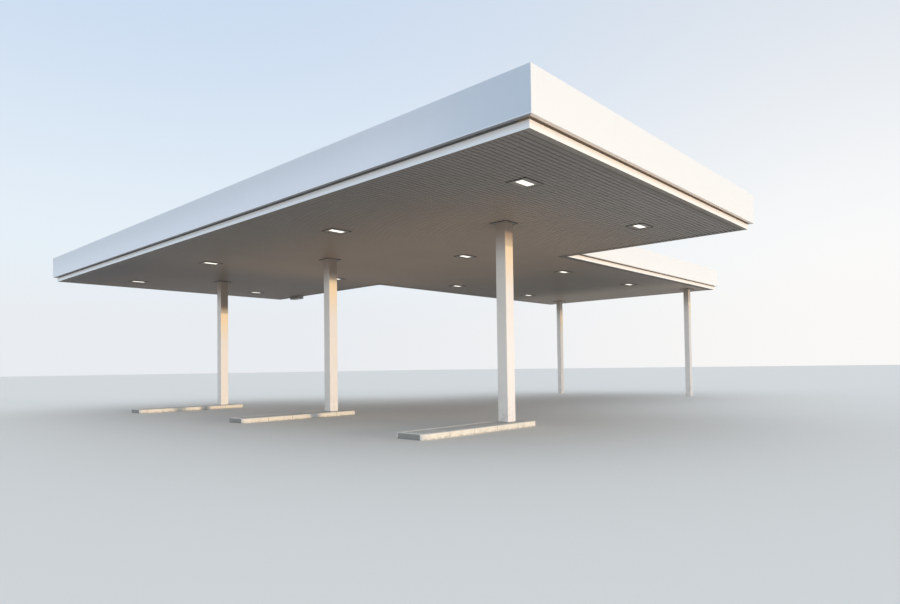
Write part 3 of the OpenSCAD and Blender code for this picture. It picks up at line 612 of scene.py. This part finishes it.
# What every CAD node wears
WORN = (
    (fascia_paint, "fascia_front fascia_left fascia_rear_left fascia_rear_right"),
    (fascia_paint, "link_fascia_left link_fascia_end"),
    # The sunny sides wear the copy with painted sunlight on its underside.
    (sunny_fascia_paint, "fascia_right link_fascia_right"),
    (capping_paint, "parapet_capping"),
    (trim_paint, "trim_main trim_link"),
    (liner_paint, "parapet_liner"),
    (deck_paint, "roof_deck_front roof_deck_rear roof_deck_link ridge_flashings"),
    (margin_paint, "soffit_margin"),
    (plate_paint, "column_collars light_housings"),
    (housing_paint, "edge_housing"),
    (cavity_paint, "shadow_gap_liner"),
    (soffit_coat, "soffit_left soffit_middle soffit_right soffit_link"),
    (shaft_paint, "column_1 column_2 column_3"),
    # The link columns wear the darker copy, painted shade.
    (shaded_link_shaft_paint, "column_4 column_5"),
    (kerb_concrete, "plinth_kerb_1 plinth_kerb_2 plinth_kerb_3"),
    (fill_concrete, "plinth_infill"),
    (zinc, "gutters purlins ceiling_rails"),
    (frame_primer, "spine_beam rafters edge_channels link_girders link_rafters fascia_posts"),
    (diffuser, "light_lenses"))

for material, names in WORN:
    for name in names.split():
        if not nodes[name].material_slots:
            nodes[name].data.materials.append(material)
        for slot in nodes[name].material_slots:
            slot.material = material


# Forms of the small fittings

def circle(steps):
    """Directions (x, y) at even steps round a circle."""
    angles = [2.0 * math.pi * step / steps for step in range(steps)]
    return [(math.cos(angle), math.sin(angle)) for angle in angles]


def turned(profile, steps):
    """Points and faces of a form turned round Z from (radius, height) pairs; radius 0 closes it."""
    points, faces, rings = [], [], []
    for radius, height in profile:
        ring = [(radius * x, radius * y, height) for x, y in circle(steps if radius > 0.0 else 1)]
        rings.append(range(len(points), len(points) + len(ring)))
        points.extend(ring)
    for low, high in zip(rings, rings[1:]):
        for step in range(steps):
            after = (step + 1) % steps
            corners = [(low, step), (low, after), (high, after), (high, step)]
            faces.append(tuple(dict.fromkeys(ring[place % len(ring)] for ring, place in corners)))
    return points, faces


def prism(profile, length):
    """A closed (y, z) profile swept along X, centred on it."""
    count = len(profile)
    points = [(side * length / 2.0, y, z) for side in (-1.0, 1.0) for y, z in profile]
    faces = [tuple(reversed(range(count))), tuple(range(count, 2 * count))]
    for first in range(count):
        after = (first + 1) % count
        faces.append((first, after, count + after, count + first))
    return points, faces


def prism_along_y(profile, length):
    points, faces = prism(profile, length)
    return [(-y, x, z) for x, y, z in points], faces


def ring_sweep(outline, profile):
    """A closed (outwards, height) profile led round an outline of (x, y, way out x, way out y)."""
    count = len(profile)
    points = [(x + out * dx, y + out * dy, z) for x, y, dx, dy in outline for out, z in profile]
    faces = []
    for place in range(len(outline)):
        here = place * count
        there = (place + 1) % len(outline) * count
        for first in range(count):
            after = (first + 1) % count
            faces.append((here + first, there + first, there + after, here + after))
    return points, faces


def square_ring(width, length, profile):
    """A profile led round a rectangle with square corners."""
    corners = (1, 1), (-1, 1), (-1, -1), (1, -1)
    return ring_sweep([(x * width / 2.0, y * length / 2.0, x, y) for x, y in corners], profile)


def bent_wire(path, side, radius, sides=5):
    """A round wire along a path that lies in one plane; side is that plane's normal."""
    points, faces = [], []
    for index, place in enumerate(path):
        before = path[max(index - 1, 0)]
        after = path[min(index + 1, len(path) - 1)]
        out = (after - before).cross(side).normalized()
        points.extend(tuple(place + radius * (x * out + y * side)) for x, y in circle(sides))
    for low in range(0, len(points) - sides, sides):
        high = low + sides
        for step in range(sides):
            after = (step + 1) % sides
            faces.append((low + step, high + step, high + after, low + after))
    return points, faces


def moved(form, offset):
    points, faces = form
    return [tuple(Vector(point) + Vector(offset)) for point in points], faces


def joined(*forms):
    """Several forms as one set of points and faces."""
    points, faces = [], []
    for more_points, more_faces in forms:
        start = len(points)
        points.extend(more_points)
        faces.extend(tuple(index + start for index in face) for face in more_faces)
    return points, faces


def add_object(name, points, edges, faces):
    mesh = bpy.data.meshes.new(name)
    mesh.from_pydata(points, edges, faces)
    mesh.update()
    holder = bpy.data.objects.new(name, mesh)
    bpy.context.collection.objects.link(holder)
    return holder


def roofing_screw():
    """Hexagon head on a flange, with a sealing washer under it."""
    washer = turned([(0.0095, -0.0005), (0.0100, 0.0010), (0.0085, 0.0024), (0.0, 0.0024)], 12)
    flange = turned([(0.0072, 0.0022), (0.0070, 0.0036), (0.0, 0.0036)], 12)
    head = turned([(0.0046, 0.0034), (0.0046, 0.0082), (0.0038, 0.0090), (0.0, 0.0090)], 6)
    return joined(washer, flange, head)


def pan_screw():
    """Low domed head with a sunk middle."""
    return turned([(0.0062, -0.0005), (0.0062, 0.0006), (0.0052, 0.0022), (0.0028, 0.0030), (0.0018, 0.0018),
                   (0.0, 0.0018)], 10)


def gutter_strap():
    """Folded strap that ties the two walls of a gutter, riveted at both ends."""
    half, leg, drop, thick = 0.0897, 0.0865, 0.020, 0.003
    inner = leg - thick
    profile = [(-half, 0.0), (-leg, 0.0), (-leg, -drop), (-inner, -drop), (-inner, 0.0), (inner, 0.0),
               (inner, -drop), (leg, -drop), (leg, 0.0), (half, 0.0), (half, thick), (-half, thick)]
    rivet = turned([(0.0050, 0.0), (0.0046, 0.0012), (0.0026, 0.0022), (0.0, 0.0025)], 8)
    ends = [moved(rivet, (0.0, side * 0.0745, thick)) for side in (-1.0, 1.0)]
    return joined(prism(profile, 0.030), *ends)


def wire_strainer():
    """Domed cage of bent wires on a flat ring, to keep leaves out of an outlet."""
    flange = turned([(0.036, 0.0), (0.058, 0.0), (0.060, 0.0015), (0.058, 0.0030), (0.036, 0.0030),
                     (0.036, 0.0)], 24)
    boss = turned([(0.010, 0.0700), (0.011, 0.0730), (0.006, 0.0765), (0.0, 0.0770)], 12)

    def on_dome(lift):
        return 0.044 * math.cos(lift), 0.002 + 0.071 * math.sin(lift)

    lifts = [on_dome(math.pi / 2.0 * step / 7) for step in range(7)]
    wires = []
    for x, y in circle(10):
        out = Vector((x, y, 0.0))
        path = [out * reach + UP * level for reach, level in lifts]
        wires.append(bent_wire(path + [out * 0.006 + UP * 0.073], Vector((-y, x, 0.0)), 0.0018))
    for reach, level in (on_dome(0.45), on_dome(0.95)):
        ring = [(reach * x, reach * y, x, y) for x, y in circle(24)]
        wires.append(ring_sweep(ring, [(0.0028 * x, level + 0.0014 * y) for x, y in circle(5)]))
    return joined(flange, boss, *wires)


def groove_filler():
    """Foam plug with the section of one plank groove, pinched a little where it was cut."""
    low, high, top = 0.0197, 0.0108, GROOVE_DEPTH - 0.0002
    side = [(low, 0.0), (low - 0.0004, 0.0015), (high + 0.0006, top - 0.0016), (high - 0.0006, top)]
    return prism_along_y(side + [(-out, height) for out, height in reversed(side)], 0.012)


def plank_end(length):
    """Cover plate that carries one plank's face over the margin, folded at its sides and held by a screw."""
    half, sheet = PLANK_FACE / 2.0, 0.0016
    plate = prism_along_y([(half, 0.0), (half - 0.0012, sheet), (0.0012 - half, sheet), (-half, 0.0)], length)
    return joined(plate, moved(pan_screw(), (0.0, 0.0, sheet)))


# Sections: (outwards, height) for a light's bevelled frame, a plate's rubber lip and its folded edge
BEZEL = [(-0.004, 0.0), (0.012, 0.0), (0.012, 0.0015), (0.009, 0.0040), (-0.002, 0.0040), (-0.004, 0.0025)]
LIP = [(0.0, 0.0), (0.0050, 0.0), (0.0045, 0.0145), (0.0030, 0.0160), (0.0, 0.0160)]
FOLD = [(-0.0035, 0.0028), (0.0, 0.0028), (0.0, 0.0156), (-0.0015, 0.0156), (-0.0035, 0.0138)]

# Section (y, z) of a sloping louvre blade with a rolled edge
BLADE = [(0.0, 0.0), (-0.0145, -0.0075), (-0.0160, -0.0060), (-0.0150, -0.0045), (0.0, 0.0030)]


def foot_bead(side, radius=0.016):
    """Tooled sealant bead round a column's foot."""
    outline = []
    for quarter in range(4):
        turn = math.pi / 2.0 * quarter
        middle = Matrix.Rotation(turn, 2) @ Vector((side / 2.0 - radius, side / 2.0 - radius))
        for step in range(7):
            angle = turn + math.pi / 2.0 * step / 6
            out = Vector((math.cos(angle), math.sin(angle)))
            outline.append((*(middle + radius * out), *out))
    return ring_sweep(outline, [(0.0, 0.0), (0.016, 0.0), (0.0125, 0.0035), (0.0065, 0.0085), (0.0, 0.016)])


# Geometry Nodes that set out the fittings

FORM_INPUTS = {"Form": "Object", "Finish": "Material", "Spin": "Vector", "Seed": "Int"}


def setting_out_group(name, inputs):
    """An empty group that is given guide points or lines and a form to set out on them."""
    return new_group("GeometryNodeTree", name, [("Geometry", "Geometry"), *inputs, *FORM_INPUTS.items()],
                     [("Geometry", "Geometry")])


def forms_on_points_group():
    """One form on every point, turned the point's own way and by a chance part of Spin."""
    tree, given, result = setting_out_group("forms_on_points", [])

    def add(kind, inputs, **settings):
        return add_node(tree, kind, inputs, **settings).outputs

    form = add("GeometryNodeObjectInfo", {"Object": given["Form"]})["Geometry"]
    way = add("GeometryNodeInputNamedAttribute", {"Name": "turn"}, data_type="FLOAT_VECTOR")["Attribute"]
    turn = add("FunctionNodeEulerToRotation", {"Euler": way})[0]
    inputs = {"Points": given["Geometry"], "Instance": form, "Rotation": turn}
    placed = add("GeometryNodeInstanceOnPoints", inputs)[0]
    limits = {0: (0.0, 0.0, 0.0), 1: given["Spin"], "Seed": given["Seed"]}
    chance = add("FunctionNodeRandomValue", limits, data_type="FLOAT_VECTOR")[0]
    spin = add("FunctionNodeEulerToRotation", {"Euler": chance})[0]
    spun = add("GeometryNodeRotateInstances", {"Instances": placed, "Rotation": spin})[0]
    real = add("GeometryNodeRealizeInstances", {"Geometry": spun})[0]
    worn = add("GeometryNodeSetMaterial", {"Geometry": real, "Material": given["Finish"]})[0]
    tree.links.new(worn, result["Geometry"])
    return tree


def forms_on_rows_group(forms_on_points):
    """Points at an even spacing along every guide line, and a form on each of them."""
    tree, given, result = setting_out_group("forms_on_rows", [("Spacing", "Float")])
    lines = add_node(tree, "GeometryNodeMeshToCurve", {"Mesh": given["Geometry"]}).outputs[0]
    inputs = {"Curve": lines, "Length": given["Spacing"]}
    spaced = add_node(tree, "GeometryNodeResampleCurve", inputs, mode="LENGTH").outputs[0]
    inputs = {"Geometry": spaced, **{name: given[name] for name in FORM_INPUTS}}
    placed = add_node(tree, "GeometryNodeGroup", inputs, node_tree=forms_on_points).outputs[0]
    tree.links.new(placed, result["Geometry"])
    return tree


FORMS_ON_POINTS = forms_on_points_group()
FORMS_ON_ROWS = forms_on_rows_group(FORMS_ON_POINTS)


def turn_for(along, up):
    """Euler angles that lay a form's X along a line and its Z along a normal."""
    up = Vector(up).normalized()
    across = up.cross(Vector(along)).normalized()
    return Matrix((across.cross(up), across, up)).transposed().to_euler()


def set_out(name, finish, form, rows=(), places=(), spacing=1.0, spin=0.0, seed=1):
    """Bakes one piece: a form along rows of (start, end, up) or on places of (point, along, up)."""
    points, edges, turns = [], [], []
    for start, end, up in rows:
        edges.append((len(points), len(points) + 1))
        points.extend([tuple(start), tuple(end)])
        turns.extend(list(turn_for(Vector(end) - Vector(start), up)) * 2)
    for point, along, up in places:
        points.append(tuple(point))
        turns.extend(turn_for(along, up))
    piece = add_object(name, points, edges, [])
    piece.data.attributes.new("turn", "FLOAT_VECTOR", "POINT").data.foreach_set("vector", turns)
    master = add_object(name + "_form", form[0], [], form[1])
    group = FORMS_ON_ROWS if rows else FORMS_ON_POINTS
    modifier = piece.modifiers.new("setting_out", "NODES")
    modifier.node_group = group
    values = {"Spacing": spacing, "Form": master, "Finish": finish, "Spin": (0.0, 0.0, spin), "Seed": seed}
    for socket in group.interface.items_tree:
        if socket.in_out == "INPUT" and socket.name in values:
            modifier[socket.identifier] = values[socket.name]
    bpy.context.view_layer.update()
    graph = bpy.context.evaluated_depsgraph_get()
    baked = bpy.data.meshes.new_from_object(piece.evaluated_get(graph))
    piece.modifiers.remove(modifier)
    guide = piece.data
    baked.name = name
    piece.data = baked
    bpy.data.meshes.remove(guide)
    bpy.data.objects.remove(master)
    if not baked.polygons:
        raise RuntimeError(name + " came out empty")
    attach(piece, "root")


# Where the fittings go

UP = Vector((0.0, 0.0, 1.0))
DOWN = -UP
ALONG_X = Vector((1.0, 0.0, 0.0))
ALONG_Y = Vector((0.0, 1.0, 0.0))
HEXAGON = math.pi / 3.0


def top_of(node, x, y):
    """Highest point of a CAD node at a place in plan, and the normal of its face there."""
    hit, point, normal, _ = nodes[node].ray_cast(Vector((x, y, 20.0)), DOWN)
    if not hit:
        raise RuntimeError("nothing of " + node + " at this place")
    return point, normal


def islands(node):
    """Lowest and highest corner of every separate solid of a CAD node."""
    mesh = nodes[node].data
    owner = list(range(len(mesh.vertices)))

    def root(index):
        while owner[index] != index:
            owner[index] = owner[owner[index]]
            index = owner[index]
        return index

    for edge in mesh.edges:
        first, second = root(edge.vertices[0]), root(edge.vertices[1])
        owner[first] = second
    by_place = {}
    for vertex in mesh.vertices:
        key = tuple(round(part, 5) for part in vertex.co)
        if key in by_place:
            owner[root(vertex.index)] = root(by_place[key])
        by_place[key] = vertex.index
    solids = {}
    for vertex in mesh.vertices:
        solids.setdefault(root(vertex.index), []).append(vertex.co)
    return [tuple(Vector(pick(part) for part in zip(*cloud)) for pick in (min, max))
            for cloud in solids.values()]


def centre(box, level):
    """Middle of a box in plan, at a level."""
    low, high = box
    return (low.x + high.x) / 2.0, (low.y + high.y) / 2.0, level


def rib_row(deck, node, side, distance):
    """A row over a deck's rib tops on one side of its ridge, laid on a node, and the ribs' spacing."""
    axis, ridge = (1, LINK_RIDGE_X) if deck == "roof_deck_link" else (0, MAIN_RIDGE_Y)
    low, high = (corner[axis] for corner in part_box(deck))
    pitch = (high - low) / round((high - low) / DECK_PITCH)
    first = RIB_MIDDLE if (side < 0.0) == (axis == 1) else 1.0 - RIB_MIDDLE
    ends = [(place, ridge + side * distance) for place in (low + first * pitch, high - (1.0 - first) * pitch)]
    if axis == 1:
        ends = [(x, y) for y, x in ends]
    (start, normal), (end, _) = (top_of(node, x, y) for x, y in ends)
    return (start, end, normal), pitch


def deck_screws(name, seed, flat, slopes):
    """Screws through the rib tops into every purlin but the first, which the ridge flashing covers."""
    rows = []
    for deck, side, run in slopes:
        step = (run - PURLIN_LAST_IN - PURLIN_FIRST) / PURLIN_GAPS
        for purlin in range(1, PURLIN_GAPS + 1):
            row, pitch = rib_row(deck, deck, side, flat + PURLIN_FIRST + purlin * step)
            rows.append(row)
    set_out(name, zinc, roofing_screw(), rows=rows, spacing=pitch * SLACK, spin=HEXAGON,
            seed=seed)


def ridge_screws():
    """Screws through both sides of the ridge flashings, on every second rib."""
    rows = []
    for side in (-1.0, 1.0):
        main, pitch = rib_row("roof_deck_front", "ridge_flashings", side, RIDGE_FLAT_MAIN + RIDGE_SCREW_IN)
        link, _ = rib_row("roof_deck_link", "ridge_flashings", side, RIDGE_FLAT_LINK + RIDGE_SCREW_IN)
        rows += [main, link]
    set_out("ridge_screws", zinc, roofing_screw(), rows=rows, spacing=2.0 * pitch * SLACK,
            spin=HEXAGON, seed=13)


def gutter_fittings():
    """Straps across the box gutters and a strainer over every outlet."""
    main = [MAIN_LOW.y + GUTTER_MIDDLE, MAIN_HIGH.y - GUTTER_MIDDLE]
    link = [LINK_LOW.x + GUTTER_MIDDLE, LINK_HIGH.x - GUTTER_MIDDLE]
    runs = [((MAIN_LOW.x + 0.5, y), (MAIN_HIGH.x - 0.5, y)) for y in main]
    runs += [((x, LINK_LOW.y + 0.5), (x, LINK_HIGH.y - 0.5)) for x in link]
    rows = [((*start, GUTTER_TOP_Z), (*end, GUTTER_TOP_Z), UP) for start, end in runs]
    set_out("gutter_straps", zinc, gutter_strap(), rows=rows, spacing=0.9)
    floor = EDGE_TOP_Z + GUTTER_SHEET
    outlets = [(centre(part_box(name), floor)[0] + OUTLET_OFF_COLUMN, y) for name in MAIN_COLUMNS for y in main]
    outlets += [(x, centre(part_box("column_4"), floor)[1] - OUTLET_OFF_COLUMN) for x in link]
    set_out("gutter_strainers", zinc, wire_strainer(), spin=0.6, seed=14,
            places=[((x, y, floor), ALONG_X, UP) for x, y in outlets])


def light_fittings():
    """A bezel round every lens and four screws in every plate."""
    lenses = islands("light_lenses")
    size = lenses[0][1] - lenses[0][0]
    bezel = square_ring(size.y - 2.0 * LENS_LAP, size.x - 2.0 * LENS_LAP, BEZEL)
    set_out("light_bezels", bezel_paint, bezel,
            places=[(centre(box, SOFFIT_Z), ALONG_Y, DOWN) for box in lenses])
    corners = [(x, y, SOFFIT_Z) for low, high in islands("light_housings")
               for x in (low.x + PLATE_SCREW_IN, high.x - PLATE_SCREW_IN)
               for y in (low.y + PLATE_SCREW_IN, high.y - PLATE_SCREW_IN)]
    set_out("plate_screws", plate_paint, pan_screw(),
            places=[(corner, ALONG_X, DOWN) for corner in corners])


def margin_screws():
    """Screws along the side bands of the soffit margin."""
    inset = MARGIN * 0.62
    x0, x1 = MAIN_LOW.x + inset, MAIN_HIGH.x - inset
    y0, y1, y2 = MAIN_LOW.y + inset, MAIN_HIGH.y - inset, LINK_HIGH.y - inset
    runs = [(x1, y0, y1), (LINK_HIGH.x - inset, y1, y2), (LINK_LOW.x + inset, y2, y1), (x0, y1, y0)]
    rows = []
    for x, first, last in runs:
        step = math.copysign(0.08, last - first)
        rows.append(((x, first + step, SOFFIT_Z), (x, last - step, SOFFIT_Z), DOWN))
    set_out("margin_screws", margin_paint, pan_screw(), rows=rows, spacing=0.36)


def groove_fillers():
    """Foam plugs in the plank grooves, over the inner edges of the margin and over every plate's edges; their
    near-black is painted shade of the groove ends.
    """
    x0, x1, x2, x3 = MARGIN_X
    rear = MAIN_HIGH.y - MARGIN
    runs = [(x0, x3, MAIN_LOW.y + MARGIN, -1.0), (x0, x1, rear, 1.0), (x2, x3, rear, 1.0),
            (x1, x2, LINK_HIGH.y - MARGIN, 1.0)]
    for low, high in islands("light_housings") + islands("column_collars"):
        runs += [(low.x, high.x, low.y, 1.0), (low.x, high.x, high.y, -1.0)]
    rows = []
    for low, high, edge, inwards in runs:
        ends = math.ceil(low / GROOVE_PITCH) * GROOVE_PITCH, math.floor(high / GROOVE_PITCH) * GROOVE_PITCH
        rows.append((*[(x, edge + inwards * 0.008, SOFFIT_FACE_Z) for x in ends], UP))
    set_out("groove_fillers", shade_black_foam, groove_filler(), rows=rows,
            spacing=GROOVE_PITCH * SLACK)


def plank_ends():
    """Cover plates that carry every plank over the front and rear margins, clear of the small housing."""
    x0, x1, x2, x3 = MARGIN_X
    housing_low, housing_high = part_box("edge_housing")
    runs = [(x0, x3, MAIN_LOW.y, 1.0), (x0, housing_low.x, MAIN_HIGH.y, -1.0),
            (housing_high.x, LINK_LOW.x, MAIN_HIGH.y, -1.0), (LINK_HIGH.x, x3, MAIN_HIGH.y, -1.0),
            (x1, x2, LINK_HIGH.y, -1.0)]
    length = MARGIN - EDGE_BAND
    rows = []
    for low, high, edge, inwards in runs:
        first = math.ceil((low + PLANK_FACE / 2.0) / GROOVE_PITCH - 0.5) + 0.5
        last = math.floor((high - PLANK_FACE / 2.0) / GROOVE_PITCH - 0.5) + 0.5
        y = edge + inwards * (EDGE_BAND + length / 2.0)
        rows.append((*[(plank * GROOVE_PITCH, y, SOFFIT_Z) for plank in (first, last)], DOWN))
    set_out("plank_ends", soffit_coat, plank_end(length), rows=rows,
            spacing=GROOVE_PITCH * SLACK)


def plate_seals():
    """Folded edges and rubber lips of the light plates and column collars, a piece for each size of plate; the
    near-black lips are painted shade of the gap at the plates' edges.
    """
    plates = {}
    for low, high in islands("light_housings") + islands("column_collars"):
        size = round(high.y - low.y, 3), round(high.x - low.x, 3)
        plates.setdefault(size, []).append((centre((low, high), SOFFIT_FACE_Z), ALONG_Y, DOWN))
    for number, (size, places) in enumerate(sorted(plates.items()), start=1):
        set_out("plate_seals_%d" % number, shade_black_foam, square_ring(*size, LIP), places=places)
        set_out("plate_returns_%d" % number, plate_paint, square_ring(*size, FOLD),
                places=places)


def foot_beads():
    """Sealant where each main column leaves its plinth."""
    boxes = [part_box(name) for name in MAIN_COLUMNS]
    low, high = boxes[0]
    set_out("foot_beads", grey_sealant, foot_bead(high.x - low.x),
            places=[(centre(box, INFILL_Z), ALONG_X, UP) for box in boxes])


def housing_louvres():
    """Blades on the front of the small housing."""
    low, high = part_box("edge_housing")
    levels = [low.z + 0.030 + 0.018 * step for step in range(5)]
    set_out("housing_louvres", housing_paint, prism(BLADE, high.x - low.x - 0.08),
            places=[(((low.x + high.x) / 2.0, low.y, level), ALONG_X, UP) for level in levels])


deck_screws("deck_screws_main", 11, RIDGE_FLAT_MAIN,
            [("roof_deck_front", -1.0, FRONT_RUN), ("roof_deck_rear", 1.0, REAR_RUN)])
deck_screws("deck_screws_link", 12, 0.0, [("roof_deck_link", side, LINK_RUN) for side in (-1.0, 1.0)])
ridge_screws()
gutter_fittings()
light_fittings()
margin_screws()
groove_fillers()
plank_ends()
plate_seals()
foot_beads()
housing_louvres()


# Stage: floor, backdrop light and lamps

def plain_floor():
    """Wide pale floor that meets the backdrop far away."""
    half, level = 400.0, -0.002
    corners = [(x, y, level) for x, y in ((-half, -half), (half, -half), (half, half), (-half, half))]
    floor = add_object("floor", corners, [], [(0, 1, 2, 3)])
    finish = Finish("floor_paint", 0.9, specular=0.1)
    finish.shader.inputs["Base Color"].default_value = (0.76, 0.72, 0.66, 1.0)
    floor.data.materials.append(finish.material)


def soft_world():
    """Even, slightly cool light, with a pale backdrop for the camera and for reflections."""
    world = bpy.data.worlds.new("studio")
    bpy.context.scene.world = world
    world.use_nodes = True
    sky = Shading(world.node_tree)
    sky.tree.nodes.clear()
    east, _, height = sky.parts(sky.add("TexCoord").outputs["Generated"])
    side = sky.ramp(east, -0.90, -0.12)
    low = sky.mix(side, (0.800, 0.880, 0.942), (0.955, 0.957, 0.955))
    high = sky.mix(side, (0.575, 0.700, 0.875), (0.690, 0.750, 0.830))
    haze = sky.mix(side, (0.815, 0.838, 0.872), (0.960, 0.945, 0.925))
    clear = sky.mix(sky.ramp(height, 0.12, 0.58), low, high)
    hazy = sky.mix(sky.ramp(height, 0.20, 0.04), clear, haze)
    backdrop = sky.add("Background", {"Color": hazy, "Strength": 1.0}).outputs[0]
    fill = sky.add("Background", {"Color": (0.76, 0.87, 1.0), "Strength": 1.06}).outputs[0]
    path = sky.add("LightPath").outputs
    seen = sky.maths("MAXIMUM", path["Is Camera Ray"], path["Is Glossy Ray"])
    seen = sky.maths("MAXIMUM", seen, path["Is Transmission Ray"])
    mixed = sky.add("MixShader", {0: seen, 1: fill, 2: backdrop}).outputs[0]
    sky.add("OutputWorld", {"Surface": mixed})


def soft_sun(name, azimuth, elevation, strength, colour, spread):
    """Broad soft light from a compass direction: azimuth 0 is +X and 90 is +Y."""
    lamp = bpy.data.lights.new(name, "SUN")
    lamp.energy = strength
    lamp.color = colour
    lamp.angle = math.radians(spread)
    holder = bpy.data.objects.new(name, lamp)
    bpy.context.collection.objects.link(holder)
    turn = math.radians(azimuth)
    lift = math.radians(elevation)
    towards = Vector((math.cos(lift) * math.cos(turn), math.cos(lift) * math.sin(turn), math.sin(lift)))
    holder.rotation_euler = towards.to_track_quat("Z", "Y").to_euler()


def place_camera():
    camera = bpy.data.cameras.new("camera")
    camera.sensor_fit = "HORIZONTAL"
    camera.sensor_width = 36.0
    camera.lens = LENS
    camera.shift_y = SHIFT_UP
    camera.clip_end = 2000.0
    holder = bpy.data.objects.new("camera", camera)
    bpy.context.collection.objects.link(holder)
    upright = Euler((math.radians(90.0 + EYE_LIFT), 0.0, math.radians(EYE_TURN))).to_matrix()
    rolled = upright @ Matrix.Rotation(math.radians(EYE_ROLL), 3, "Z")
    holder.location = EYE
    holder.rotation_euler = rolled.to_euler()
    bpy.context.scene.camera = holder


plain_floor()
soft_world()
soft_sun("key", azimuth=8, elevation=3.6, strength=2.0, colour=(1.0, 0.74, 0.44), spread=1.6)
place_camera()
bpy.context.scene.view_settings.view_transform = "Standard"
